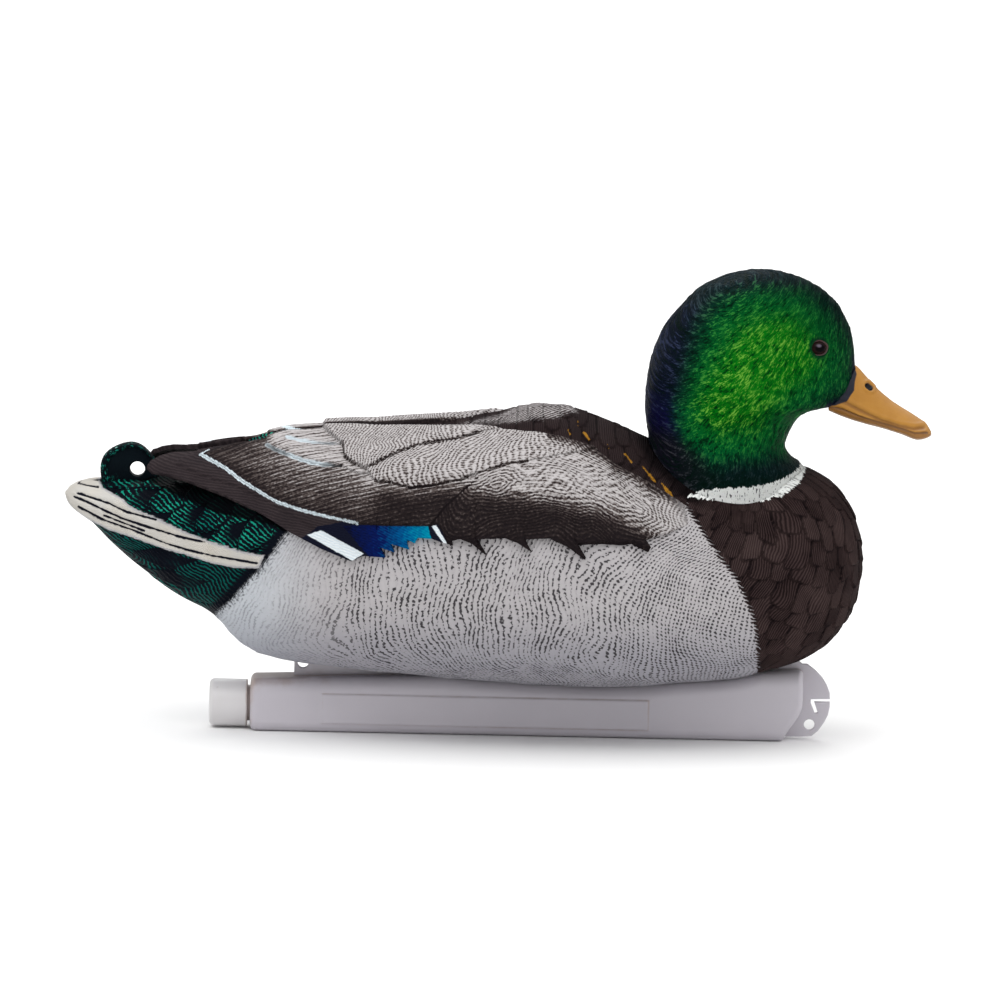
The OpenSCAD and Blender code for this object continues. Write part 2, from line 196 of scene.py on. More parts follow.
def mesh_from_grid(name, P, attrs=(), normals=None, close_v=False, flip=False):
    """Object from an (n, m, 3) grid of points in millimetres with per-point values."""
    n, m = P.shape[:2]
    idx = np.arange(n * m).reshape(n, m)
    if close_v:
        idx = np.concatenate([idx, idx[:, :1]], 1)
    quads = np.stack([idx[:-1, :-1], idx[1:, :-1], idx[1:, 1:], idx[:-1, 1:]], -1).reshape(-1, 4)
    if flip:
        quads = quads[:, ::-1]
    used = np.unique(quads)
    remap = np.full(n * m, -1)
    remap[used] = np.arange(len(used))
    quads = remap[quads]
    pts = P.reshape(-1, 3)[used] * MM
    me = bpy.data.meshes.new(name)
    me.vertices.add(len(pts))
    me.vertices.foreach_set("co", pts.astype(np.float32).ravel())
    me.loops.add(quads.size)
    me.loops.foreach_set("vertex_index", quads.astype(np.int32).ravel())
    me.polygons.add(len(quads))
    me.polygons.foreach_set("loop_start", np.arange(0, quads.size, 4, dtype=np.int32))
    me.update(calc_edges=True)
    me.validate()
    me.polygons.foreach_set("use_smooth", np.full(len(me.polygons), True))
    for key, values in dict(attrs).items():
        a = me.attributes.new(key, "FLOAT", "POINT")
        a.data.foreach_set("value", np.asarray(values, np.float32).reshape(-1)[used])
    if normals is not None:
        nn = normals.reshape(-1, 3)[used]
        me.normals_split_custom_set_from_vertices(nn.astype(np.float32))
    o = bpy.data.objects.new(name, me)
    bpy.context.scene.collection.objects.link(o)
    return o


def grid_normals(P, outward):
    """Normals of a grid, turned to agree with the rough outward directions."""
    du, dv = np.gradient(P, axis=0), np.gradient(P, axis=1)
    n = np.cross(du, dv)
    n /= np.maximum(np.linalg.norm(n, axis=-1, keepdims=True), 1e-9)
    s = np.sign((n * outward).sum(-1, keepdims=True))
    return n * np.where(s == 0, 1, s)


def piece(obj, body, slot, material, *nodes):
    """Give an object its material, the body it moves with and the CAD nodes it stands for, which it hides.
    The slot is not used.
    """
    obj.data.materials.clear()
    obj.data.materials.append(material)
    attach(obj, body)
    if nodes:
        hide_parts(*nodes)
    return obj


def flipped(P):
    """The same points on the other side of the bird."""
    return P * np.array([1.0, -1.0, 1.0])


def sight_height(P):
    """Height at which points appear from the side."""
    return P[..., 2] * math.cos(SIGHT) - np.abs(P[..., 1]) * math.sin(SIGHT)


def bell(d, width, power=2):
    """1 at d = 0, falling smoothly within about the width."""
    return np.exp(-((d / width) ** power))


def nearest(paths, x, y):
    """Distance to the nearest of several open paths."""
    return np.min([path_distance(path, x, y)[0] for path in paths], 0)


# ---------------------------------------------------------------- materials

MATT_IOR = 1.18


class Shader:
    """A small builder for procedural node materials."""

    def __init__(self, name):
        self.mat = bpy.data.materials.new(name)
        self.mat.use_nodes = True
        self.tree = self.mat.node_tree
        self.bsdf = self.tree.nodes["Principled BSDF"]

    def put(self, socket, value):
        if isinstance(value, Val):
            self.tree.links.new(value.out, socket)
        elif isinstance(value, (tuple, list)) and socket.type == "RGBA":
            socket.default_value = (*value[:3], 1.0)
        else:
            socket.default_value = value

    def math(self, op, *args, clamp=False):
        n = self.tree.nodes.new("ShaderNodeMath")
        n.operation, n.use_clamp = op, clamp
        for s, a in zip(n.inputs, args):
            self.put(s, a)
        return Val(self, n.outputs[0])

    def attr(self, name):
        n = self.tree.nodes.new("ShaderNodeAttribute")
        n.attribute_name = name
        return Val(self, n.outputs["Fac"])

    def coords(self):
        return Val(self, self.tree.nodes.new("ShaderNodeTexCoord").outputs["Object"])

    def vector(self, x, y, z=0.0):
        n = self.tree.nodes.new("ShaderNodeCombineXYZ")
        for s, a in zip(n.inputs, (x, y, z)):
            self.put(s, a)
        return Val(self, n.outputs[0])

    def turn(self, vec):
        """Angle of a point about the upright axis of the neck."""
        n = self.tree.nodes.new("ShaderNodeSeparateXYZ")
        self.put(n.inputs[0], vec)
        return self.math("ARCTAN2", Val(self, n.outputs[1]), Val(self, n.outputs[0]) - AXIS_X * MM)

    def noise(self, vec, scale, detail=2.0, rough=0.5, distortion=0.0):
        """Noise centred on 0, about -0.5 to 0.5."""
        n = self.tree.nodes.new("ShaderNodeTexNoise")
        self.put(n.inputs["Vector"], vec)
        n.inputs["Scale"].default_value = scale
        n.inputs["Detail"].default_value = detail
        n.inputs["Roughness"].default_value = rough
        n.inputs["Distortion"].default_value = distortion
        return Val(self, n.outputs[0]) - 0.5

    def cells(self, vec, scale):
        n = self.tree.nodes.new("ShaderNodeTexVoronoi")
        self.put(n.inputs["Vector"], vec)
        n.inputs["Scale"].default_value = scale
        return Val(self, n.outputs["Distance"])

    def colour(self, a, b, t):
        n = self.tree.nodes.new("ShaderNodeMix")
        n.data_type = "RGBA"
        self.put(n.inputs[0], t)
        self.put(n.inputs[6], a)
        self.put(n.inputs[7], b)
        return Val(self, n.outputs[2])

    def ramp(self, t, stops):
        n = self.tree.nodes.new("ShaderNodeValToRGB")
        self.put(n.inputs[0], t)
        e = n.color_ramp.elements
        while len(e) < len(stops):
            e.new(0.5)
        for item, (pos, col) in zip(e, stops):
            item.position = pos
            item.color = (*col, 1.0)
        return Val(self, n.outputs[0])

    def bump(self, height, distance, strength=1.0, below=None):
        n = self.tree.nodes.new("ShaderNodeBump")
        n.inputs["Distance"].default_value = distance
        n.inputs["Strength"].default_value = strength
        self.put(n.inputs["Height"], height)
        if below is not None:
            self.put(n.inputs["Normal"], below)
        return Val(self, n.outputs[0])

    def done(self, colour, rough, normal=None, spec=0.5):
        b = self.bsdf.inputs
        if spec < 0.1:  # matt paint keeps its darks at grazing angles
            b["IOR"].default_value = MATT_IOR
        self.put(b["Base Color"], colour)
        self.put(b["Roughness"], rough)
        self.put(b["Specular IOR Level"], spec)
        if normal is not None:
            self.put(b["Normal"], normal)
        return self.mat


class Val:
    """A value inside a material; arithmetic on it adds nodes."""

    def __init__(self, shader, out):
        self.s, self.out = shader, out

    def __add__(self, o):
        return self.s.math("ADD", self, o)

    def __radd__(self, o):
        return self.s.math("ADD", o, self)

    def __sub__(self, o):
        return self.s.math("SUBTRACT", self, o)

    def __rsub__(self, o):
        return self.s.math("SUBTRACT", o, self)

    def __mul__(self, o):
        return self.s.math("MULTIPLY", self, o)

    def __rmul__(self, o):
        return self.s.math("MULTIPLY", o, self)

    def clamped(self):
        return self.s.math("ADD", self, 0.0, clamp=True)

    def step(self, a, b):
        """0 below a to 1 above b, smoothly; falls instead when a > b."""
        n = self.s.tree.nodes.new("ShaderNodeMapRange")
        n.interpolation_type = "SMOOTHSTEP"
        self.s.put(n.inputs["Value"], self)
        lo, hi, y0, y1 = (a, b, 0.0, 1.0) if a < b else (b, a, 1.0, 0.0)
        for key, v in (("From Min", lo), ("From Max", hi), ("To Min", y0), ("To Max", y1)):
            n.inputs[key].default_value = v
        return Val(self.s, n.outputs[0])

    def wave(self, pitch, jitter=0.0):
        """-1 to 1, one cycle every pitch."""
        return self.s.math("SINE", (self * (1 / pitch) + jitter) * TAU)

    def absolute(self):
        return self.s.math("ABSOLUTE", self)


# ---------------------------------------------------------------- body surface


def body_close(x):
    """How the body section shrinks at the breast and at the tail."""
    return closing((x - (X1 - BREAST_L)) / BREAST_L, 2.1) * closing((X0 + TAIL_L - x) / TAIL_L, 2)


def ridge_y(x):
    """Distance of the two back ridges from the middle."""
    return 9 + 26 * ramp(-90, 25, x)


def ridge(x, y):
    """Height of the ridges over the plain back."""
    width = 5 + ridge_y(x) / 4
    return 3.2 * ramp(-150, -112, x) * (1 - ramp(5, 50, x)) * bell(np.abs(y) - ridge_y(x), width)


def body_section(x, a):
    """(y, z) of the left half of the body at station x and section angle a, top 90 to bottom -90 degrees."""
    k, zm, up = body_close(x), curve(WAIST, x), a > 0
    n = np.where(up, curve(ROUND, x), 2.2 + 0.5 * ramp(-120, -70, x) - 0.3 * ramp(90, 150, x))
    hz = np.where(up, curve(BACK, x) - zm, zm - curve(BELLY, x)) * k
    y = curve(PLAN, x) * k * np.abs(np.cos(a)) ** (2 / n)
    z = hz * np.abs(np.sin(a)) ** (2 / n)
    return y, zm + np.where(up, z + ridge(x, y), -z)


def body_table(xs, rows):
    """Points (n, rows, 3) of the left half evenly spaced round each section, and arc lengths from the top."""
    a = np.linspace(math.pi / 2, -math.pi / 2, 500)
    a = a + 0.12 * np.sin(4 * a)  # closer steps near the top, the waist and the bottom
    y, z = body_section(xs[:, None], a[None, :])
    s = np.concatenate([np.zeros((len(xs), 1)),
                        np.cumsum(np.hypot(np.diff(y, axis=1), np.diff(z, axis=1)), 1)], 1)
    P = np.zeros((len(xs), rows, 3))
    S = np.zeros((len(xs), rows))
    for i in range(len(xs)):
        S[i] = np.linspace(0, s[i, -1], rows)
        P[i, :, 1] = np.interp(S[i], s[i], y[i])
        P[i, :, 2] = np.interp(S[i], s[i], z[i])
    P[:, :, 0] = xs[:, None]
    P[:, 0, 1] = 0
    P[:, -1, 1] = 0
    return P, S


STEP = 0.85  # spacing of the stations along the body
ROWS = 250  # points round half a section
STRIPS = (("back", 0, 84), ("flank", 84, 168), ("belly", 168, ROWS - 1))  # first and last row of each piece


def body_grid():
    """Smooth left half of the body: points, arc lengths from the top, outward normals."""
    tail = X0 + TAIL_L * (1 - np.sin(math.pi / 2 * np.linspace(0.02, 1, 12)))
    middle = np.linspace(X0 + TAIL_L, X1 - BREAST_L, int((X1 - BREAST_L - X0 - TAIL_L) / STEP))
    front = X1 - BREAST_L + BREAST_L * np.sin(np.linspace(0, math.pi / 2 * 0.9995, 84))[1:]
    stations = np.unique(np.round(np.concatenate([[X0], np.sort(tail)[:-1], middle, front]), 4))
    base, arc = body_table(stations, ROWS)
    x, y, z = base[..., 0], base[..., 1], base[..., 2]
    forward = np.where(x > X1 - BREAST_L, (x - (X1 - BREAST_L)) / BREAST_L * 60, 0)
    backward = np.where(x < X0 + 20, X0 + 20 - x, 0) * 0.5
    outward = np.stack([forward - backward, y + 1e-3, z - curve(WAIST, stations)[:, None]], -1)
    return base, arc, grid_normals(base, outward)


# Paint boundaries of the body, (x, sight height)
BREAST_EDGE = [(16.9, 139.2), (28.5, 137.1), (44.3, 132.4), (55.1, 124.3), (64.5, 119.4),
               (75.2, 114.0), (86.9, 106.9), (94.1, 95.5), (103.7, 81.8), (110.8, 72.7),
               (115.6, 63.6), (119, 54.4), (120.6, 45.2), (121.8, 32.2), (122, -30)]
BREAST = BREAST_EDGE + [(220, -30), (220, 200), (14, 200), (8, 150)]
RUMP = [(-78, 170), (-84, 110), (-92, 95), (-98.1, 87.7), (-101.7, 82.1), (-104.4, 78.4),
        (-108, 73.7), (-113.4, 68), (-120.2, 60), (-129.3, 51.5), (-133.8, 48.2), (-141, 36),
        (-230, 30), (-230, 170)]
TAIL_TOP = [(-200.5, 112.6), (-197.3, 114.7), (-184.6, 113.6), (-181.6, 108.7), (-172.3, 103.9),
            (-168, 100.5), (-155.8, 95.8), (-143.7, 90.4), (-138, 88.4), (-130.8, 85.7),
            (-116.6, 81.7), (-105.9, 79.8)]
TAIL_LOW = [(-202, 106.2), (-197.8, 102.7), (-194.9, 99.2), (-187, 94.4), (-178.4, 90.4),
            (-167.7, 87), (-152, 81.7), (-141.3, 79.1), (-130.6, 75.8), (-120, 73.9), (-108.6, 73.8)]
TAIL_LINES = [[(-198, 111.6), (-190, 110), (-184.1, 109.1)], [(-193, 113.6), (-188.5, 113), (-184.2, 112.2)],
              [(-193.6, 106.3), (-184.3, 103.7), (-178.6, 102), (-170.1, 98.3), (-156.5, 95.1)],
              [(-195, 104.9), (-187.9, 102.2), (-178.6, 98.1), (-172.1, 95.4), (-159.3, 91.5),
               (-145.1, 87.5), (-133.7, 85.3)],
              [(-180.7, 96.7), (-173.5, 94), (-162.1, 90)],
              [(-192.8, 100.7), (-180.6, 94.6), (-166.3, 89.9), (-152.1, 84.5), (-141.4, 81.6),
               (-130.7, 79.3), (-109.4, 76.2)]]
COLLAR = [(86, 110.4), (95.3, 109.5), (105.9, 109.2), (121.6, 109), (133.1, 112.5),
          (139.9, 118.6), (142.5, 125.2), (147, 135), (105, 137), (98, 118), (92, 112.9)]
FLECKS = [[(58.1, 129.4), (61.4, 125.3)], [(66.4, 123.8), (72.4, 117.3)], [(75.6, 116.5), (82.5, 107.6)],
          [(48.0, 135.4), (51.0, 131.8)], [(39.1, 138.9), (41.5, 135.7)], [(36.2, 144.2), (36.7, 141.4)],
          [(32.1, 140.0), (33.1, 137.2)]]

MANTLE = [(-30, 170), (-24, 142), (-10, 141.8), (0.6, 142.8), (14.5, 144.2), (26, 145.6),
          (35.2, 148.6), (38, 152), (38, 170)]
WING_FOOT = [(-94, 94), (-79, 88), (-50, 89), (-22, 92), (40, 92.5), (71, 94), (84.9, 100.5), (94, 105)]
PRIMARY_LOW = [(-162, 121), (-125, 106), (-94, 90), (-79, 84), (-65, 79)]  # lower edge of the wing tip


def body_distances(x, sight):
    """Distances to the painted areas, positive inside, and to the painted lines."""
    # the back under and between the wings is brown like the breast
    back = np.minimum(np.minimum(sight - line(WING_FOOT, x) - 3, 84 - x), x + 110)
    breast = np.maximum(polygon_distance(BREAST, x, sight), np.where(back > 0, back + 3, -99))
    return dict(breast_d=breast,
                rump_d=polygon_distance(RUMP, x, sight),
                tail_d=polygon_distance(TAIL_TOP + TAIL_LOW[::-1], x, sight),
                tline_d=nearest(TAIL_LINES, x, sight),
                collar_d=polygon_distance(COLLAR, x, sight),
                fleck_d=nearest(FLECKS, x, sight),
                under_d=line(PRIMARY_LOW, x) - sight,
                mantle_d=polygon_distance(MANTLE, x, sight))


def breast_feathers(x, y, z):
    """Small scales that follow the neck down and sweep back under the belly."""
    azimuth = np.arctan2(y, np.maximum(x - 100, 1e-3)) * 58 + np.where(x < 100, (100 - x), 0)
    drop = 132 - z
    u = drop + 0.10 * azimuth + 3.4 * value_noise(azimuth / 12, drop / 13, 2)
    v = (-azimuth + 15 * (drop / 80) ** 2) / (0.72 + 0.28 * np.clip(drop / 70, 0, 1))
    v = v + 2.6 * value_noise(azimuth / 10, drop / 12, 4)
    return shingles(u, v, 9.6, 10.5, 5.0, 0.5, 1)


def rump_feathers(x, z, sight, arc, above):
    """Broad scallops above the tail, long ones below it."""
    u = -x * 0.93 + 0.35 * (112 - sight) + 1.5 * value_noise(x / 13, arc / 13, 6)
    over = shingles(u, arc * 0.9 + x * 0.22, 17.0, 15.0, 2.2, 0.4, 3)
    under = shingles(-x * 0.8 + (100 - z) * 0.5, arc * 0.85 - x * 0.3, 21.0, 10.0, 2.0, 0.5, 4)
    return [np.where(above, p, q) for p, q in zip(over, under)]


def flank_feathers(x, arc):
    """Wide soft lobes."""
    return shingles(-x + 3 * value_noise(x / 30, arc / 30, 8), arc + 0.15 * x, 34.0, 30.0, 2.0, 0.5, 6)


def flank_phase(x, arc):
    """Value that grows across the fine flank lines."""
    return (x + 0.0015 * np.maximum(x - 10, 0) ** 2 - 0.0085 * (arc - 124 - 9 * np.sin(x / 30)) ** 2
            + 5.5 * value_noise(x / 30, arc / 22, 11) + 2.2 * value_noise(x / 11, arc / 12, 12))


def neck_seat(skin, neck_d, z):
    """Sink the skin inside the seat of the head."""
    well = (neck_d < NECK_R + 0.2) & (z > 105)
    sunk = mix(skin[..., 2], SEAT_Z + 1, ramp(0.1, 1.1, NECK_R + 0.2 - neck_d))
    skin[..., 2] = np.where(well, np.minimum(skin[..., 2], sunk), skin[..., 2])


def body_skin():
    """Points, normals and paint values of the left half with its relief."""
    base, arc, base_n = body_grid()
    x, y, z = base[..., 0], base[..., 1], base[..., 2]
    sight = sight_height(base)
    neck_d = np.hypot(x - AXIS_X, y)
    above = sight > line(TAIL_TOP, x)
    attrs = body_distances(x, sight)
    breast_d, rump_d, tail_d = attrs["breast_d"], attrs["rump_d"], attrs["tail_d"]
    b_tip, b_across, b_id, b_edge = breast_feathers(x, y, z)
    r_tip, _, r_id, r_edge = rump_feathers(x, z, sight, arc, above)
    f_tip, _, f_id, f_edge = flank_feathers(x, arc)

    breast_w = ramp(-1.5, 2.5, breast_d)
    rump_w = ramp(-1, 2, rump_d) * (1 - ramp(-1.2, 0.8, tail_d))
    flank_w = (1 - ramp(-3, 1, breast_d)) * (1 - ramp(-2, 1, rump_d))
    tail_w = ramp(-1.0, 0.8, tail_d) * (1 - ramp(-112, -104, x))
    calm = np.clip(1 - ramp(8, 36, NECK_R + 34 - neck_d), 0.25, 1)
    b_height = 1.15 * np.exp(-b_tip / 4.0) - 0.55 * bell(b_edge, 0.8) + 0.25 * (b_id - 0.5)
    r_height = np.where(above, 1.5, 0.6) * np.exp(-r_tip / 6) - 0.5 * bell(r_edge, 0.9)
    f_height = 0.35 * np.exp(-f_tip / 8) + 0.25 * value_noise(x / 7, arc / 5, 13) * (1 - ramp(-90, -50, x))
    t_height = 1.1 - 0.9 * bell(attrs["tline_d"], 0.8)
    height = breast_w * b_height * calm + rump_w * r_height + flank_w * f_height + tail_w * t_height
    by_wing = ramp(-158, -140, x) * (1 - ramp(-66, -60, x)) * ramp(3, 9, y)
    under_wing = ramp(0.5, 3, -attrs["under_d"]) * by_wing
    height = mix(height, -1.2, under_wing) * ramp(0, 3, x - X0)
    by_neck = (neck_d < NECK_R + 6) & (z > 105)
    height = np.where(by_neck, height * ramp(NECK_R, NECK_R + 6, neck_d), height)

    skin = base + base_n * height[..., None]
    skin[..., 1] = np.maximum(skin[..., 1], 0)
    skin[:, [0, -1], 1] = 0
    neck_seat(skin, neck_d, z)
    normals = grid_normals(skin, base_n)
    normals[:, [0, -1], 1] = 0

    rump_phase = 0.66 * x + 0.75 * sight + 3.0 * value_noise(x / 14, arc / 11, 16)
    rump_arc = 0.57 * x + 0.82 * sight + 2.6 * value_noise(x / 15, arc / 12, 15) + 1.2 * (r_id - 0.5)
    by_region = dict(phase=(rump_phase, b_across, flank_phase(x, arc)), edge=(r_edge, b_edge, f_edge),
                     ident=(r_id, b_id, f_id), tipd=(r_tip, b_tip, f_tip))
    for key, (on_rump, on_breast, on_flank) in by_region.items():
        attrs[key] = np.where(rump_w > 0.5, on_rump, np.where(breast_w > 0.5, on_breast, on_flank))
    attrs.update(neck_d=neck_d, across_x=x, sightz=sight, arc=arc, above=above * 1.0,
                 rarc=np.where(rump_w > 0.5, rump_arc, 0))
    return skin, normals, attrs


def collar_white(s, turn, height):
    """White with short upright ink marks, for both halves of the collar."""
    ink = s.noise(s.vector(turn * 44.0, height * 0.42), 1.0, 2).step(0.09, 0.14)
    return s.colour((0.84, 0.86, 0.84), (0.02, 0.02, 0.025), ink * 0.95)


def body_fields(s):
    """The values and noises that every part of the body paint is mixed from."""
    co = s.coords()
    return SimpleNamespace(co=co, x=s.attr("across_x"), arc=s.attr("arc"), q=s.attr("sightz"),
                           phase=s.attr("phase"), edge=s.attr("edge"),
                           ident=s.attr("ident"), tip=s.attr("tipd"),
                           mid=s.noise(co, 90, 3), fine=s.noise(co, 520, 2), dash=s.noise(co, 820, 1))


def flank_paint(s, f):
    """Grey with fine lines broken into dashes, closer and crossed near the breast."""
    wave = f.phase.wave(2.5, f.fine * 0.9 + f.mid * 1.35)
    cross = f.arc.wave(1.9, f.fine * 0.9 + f.mid * 0.8)
    front = f.x.step(20, 105)
    presence = (f.x.step(-98, -52) * 0.75 + f.mid * 0.6 + 0.28).clamped()
    dashes = f.dash * (2.3 - front * 0.9)
    ink = wave * 0.66 + dashes + f.mid * 1.3 + f.fine * 0.8 + 0.06 + cross * (front * 0.40 + 0.14)
    soft = (wave * 0.5 + f.fine).step(-0.2, 0.7)
    grey = s.colour((0.46, 0.437, 0.446), (0.385, 0.368, 0.376), (f.mid + 0.5).clamped())
    grey = s.colour(grey, (0.50, 0.525, 0.56), f.x.step(-70, -118))
    # painted shade: the flank grey darker towards the bottom
    grey = s.colour(grey, (0.25, 0.25, 0.295), f.q.step(62, 30) * 0.62)
    grey = s.colour(grey, (0.30, 0.29, 0.30), soft * 0.25 * f.x.step(-120, -60))
    return s.colour(grey, (0.03, 0.027, 0.03), ink.step(0.45, 0.74) * presence * 0.93), wave


def breast_paint(s, f):
    """Brown with painted shade in the creases and fine barbs, a painted shadow behind the neck, and a barred
    grey strip on the back.
    """
    barbs = f.phase.wave(1.25, f.fine * 0.5 + f.mid * 0.5)
    # painted shade: darker in the creases between the scales
    shaded_crease = (f.edge + f.mid * 3.0).step(0.95, 0.1)
    brown = s.ramp((0.5 + f.mid * 0.8 + (f.ident - 0.5) * 0.35 + barbs * 0.33).clamped(),
                   [(0.0, (0.008, 0.005, 0.005)), (0.5, (0.029, 0.018, 0.018)), (1.0, (0.055, 0.037, 0.035))])
    brown = s.colour(brown, (0.006, 0.004, 0.005), shaded_crease * 0.7)
    brown = s.colour(brown, (0.014, 0.010, 0.011), f.x.step(92, 64) * 0.62)
    # painted shadow: near-black behind the neck
    neck_shadow = (s.attr("neck_d") + f.mid * 6).step(47, 38) * f.x.step(104, 88)
    brown = s.colour(brown, (0.003, 0.0025, 0.003), neck_shadow * 0.85)
    bars = (f.x * 0.9 + f.arc * 0.5).wave(2.2, f.mid * 1.5 + f.fine * 0.5) * 0.42 + f.dash * 0.6 + f.mid * 0.5
    mantle = s.ramp((bars + 0.52).clamped(),
                    [(0.0, (0.022, 0.017, 0.018)), (0.45, (0.11, 0.092, 0.090)), (0.9, (0.46, 0.435, 0.44))])
    brown = s.colour(brown, mantle, (s.attr("mantle_d") + f.fine * 3.5 + f.mid * 3).step(-1.0, 1.6))
    return brown, barbs * 0.30 - shaded_crease * 0.5


def rump_paint(s, f):
    """Black with green lines, bright on the scallops above the tail and dull below it."""
    above, rump_d, under_d = s.attr("above"), s.attr("rump_d"), s.attr("under_d")
    wave = s.attr("rarc").wave(1.75, f.fine * 0.8 + f.mid * 0.3)
    low_wave = f.phase.wave(1.45, f.fine * 0.9)
    solid = rump_d.step(3.0, 6.5)
    lines = (wave + f.dash * 2.4 + f.mid).step(0.40, 0.90) * f.tip.step(17, 9) * f.edge.step(0.3, 1.6) * solid
    low_lines = (low_wave + f.dash * 1.8).step(0.1, 0.8) * (f.ident + f.mid).step(0.0, 0.45) * solid
    teal = s.colour((0.0, 0.10, 0.085), (0.015, 0.36, 0.24), (f.mid * 2.4 + 0.45).clamped())
    black = s.colour((0.0015, 0.002, 0.004), (0.005, 0.007, 0.012), (f.mid + 0.5).clamped())
    down = s.colour(black, (0.002, 0.095, 0.078), low_lines * 0.8)
    rump = s.colour(down, s.colour(black, teal, lines), above)
    # painted shadow: a near-black band under the lower edge of the folded wing tips
    width = f.x.step(-98, -130) * 8.0 + 0.8
    undercut_shadow = (under_d - width + f.mid * 2.0).step(0.8, -0.8) * f.x.step(-84, -92) * under_d.step(-6, -2)
    return s.colour(rump, (0.0012, 0.0015, 0.0022), undercut_shadow * 0.97), wave * above + low_wave * (1.0 - above)


def tail_paint(s, f):
    """Cream with black shafts."""
    cream = s.colour((0.55, 0.51, 0.445), (0.62, 0.61, 0.59), (s.noise(f.co, 60, 2) * 1.6 + 0.5).clamped())
    # painted shade: grey-blue along the edges of the cream
    cream = s.colour(cream, (0.36, 0.36, 0.40), (s.attr("tail_d") + f.fine * 1.2).step(1.5, 0.4) * 0.7)
    shaft = s.attr("tline_d") + f.fine * 0.7 + f.mid * 1.3
    return s.colour(cream, (0.008, 0.009, 0.016), shaft.step(0.62, 0.28))


def body_material():
    """All areas of the body in layers with fringed borders."""
    s = Shader("body paint")
    f = body_fields(s)
    flank, flank_wave = flank_paint(s, f)
    brown, breast_relief = breast_paint(s, f)
    rump, rump_relief = rump_paint(s, f)
    spike = (f.q + f.x * 0.35).wave(3.2, f.mid * 1.8).absolute() * 2.2
    breast_d = s.attr("breast_d") + spike - 1.1 + f.fine * 2.4
    col = s.colour(flank, brown, breast_d.step(-0.35, 0.35))
    rump_d = s.attr("rump_d") + f.fine * 3.0 + f.phase.wave(1.3) * 0.7
    in_rump = rump_d.step(-0.5, 0.5)
    fringe = (s.attr("rump_d") + f.fine * 5.5 + f.mid * 2).step(-3.6, -1.2) * (1.0 - in_rump)
    col = s.colour(col, (0.02, 0.022, 0.03), fringe * (f.dash * 3.2 + 0.25).clamped())
    col = s.colour(col, rump, in_rump)
    strand = s.noise(s.vector(f.x * 0.2, f.q * 1.6), 1.0, 2)
    tail_d = s.attr("tail_d") + f.fine * 1.5 + strand * 1.2
    col = s.colour(col, tail_paint(s, f), tail_d.step(-0.3, 0.35))
    turn = s.turn(f.co)
    feathered = s.noise(s.vector(turn * 30.0, f.q * 0.12), 1.0, 2) * 4.6
    collar_d = s.attr("collar_d") + feathered + f.fine * 1.2 - 0.2
    col = s.colour(col, collar_white(s, turn, f.q), collar_d.step(-0.15, 0.3))
    fleck_d = s.attr("fleck_d") + f.mid * 2.8 + f.fine * 1.0  # ochre flecks behind the neck
    col = s.colour(col, (0.40, 0.19, 0.02), fleck_d.step(0.60, 0.2) * 0.85)

    in_breast = breast_d.step(-0.4, 0.4)
    relief = (flank_wave * 0.35 * (1.0 - in_breast) * (1.0 - in_rump) + breast_relief * in_breast
              + rump_relief * 0.3 * in_rump + f.fine * 0.35)
    normal = s.bump(f.mid, 0.0009, 0.35, s.bump(relief, 0.0006, 0.75))
    rough = (0.62 + f.mid * 0.2 + in_breast * 0.06 - in_rump * 0.20).clamped()
    return s.done(col, rough, normal, spec=0.05)


def build_body():
    skin, normals, attrs = body_skin()
    material = body_material()
    for side, tag in SIDES:
        P, N = (skin, normals) if side > 0 else (flipped(skin), flipped(normals))
        for label, first, last in STRIPS:
            cols = slice(first, last + 1)
            values = {key: v[:, cols] for key, v in attrs.items()}
            o = mesh_from_grid(f"{label}_{tag}", P[:, cols], values, N[:, cols], flip=side < 0)
            piece(o, "duck", "body_paint", material, "body_shell")


build_body()

# ---------------------------------------------------------------- folded wings

WING_X0, WING_X1 = -161.4, 99.0
CAPE_X = 17  # the brown cape covers the wing in front of here
WROWS = 150
# Free end of the primaries: half width and sight height of the top edge, half width of the lower edge
BLADE_TOP_Y = [(-161.5, 21.5), (-158, 17.5), (-150, 13.5), (-140, 11), (-120, 8), (-90, 4)]
BLADE_TOP_Q = [(-161.5, 119.9), (-159.9, 122.3), (-155.7, 124.7), (-150.1, 126.4), (-142.3, 126.9),
               (-136.7, 127.6), (-130.9, 128.9), (-119.4, 131.4), (-96.3, 134.2), (-80, 136)]
BLADE_LOW_Y = [(-161.5, 22.5), (-155, 27), (-144, 32), (-125, 41), (-108, 50), (-94, 57), (-80, 61)]
# Lower edge of the wing with its notches, and the same edge evened out
WING_EDGE = [(-161.5, 119.7), (-159.3, 117.2), (-152, 116), (-144, 114.1), (-125.3, 107.3),
             (-108.5, 99.3), (-94, 90.7), (-79.1, 83.5), (-65.5, 78.3), (-60.2, 80.9),
             (-54.5, 80.4), (-53.4, 84.9), (-48.6, 82.8), (-47.4, 86.5), (-41.5, 84), (-40.2, 88.2),
             (-37.0, 86.8), (-35.6, 89.2), (-29.4, 89), (-24.2, 87), (-21.9, 86.2), (-20.6, 88.4),
             (-16, 89), (-12.4, 87),
             (-10.2, 82.5), (-9.0, 88.8), (4.1, 90.1), (9, 88.4), (12.2, 84.2), (13.4, 89.4),
             (24.9, 90.1), (31, 86.8), (34.6, 81.8), (35.8, 88), (48, 88.9), (56, 88.4),
             (60.8, 89.2), (65.4, 85.8), (66.6, 90.4), (78, 93.1), (84.9, 96.5), (94, 101.1), (100, 104)]
EVEN_EDGE = [(-161.5, 119), (-125.3, 106.1), (-94, 90.1), (-79.1, 84), (-50, 85), (-22, 88),
             (40, 88.5), (71, 90), (84.9, 96.5), (94, 101.1), (100, 104)]
CAPE_EDGE = [(-100, 0), (17, 139.2), (28.5, 137.1), (44.3, 132.4), (55.1, 124.3), (64.5, 119.4),
             (75.2, 114), (86.9, 106.9), (94.1, 101.5), (100, 99)]


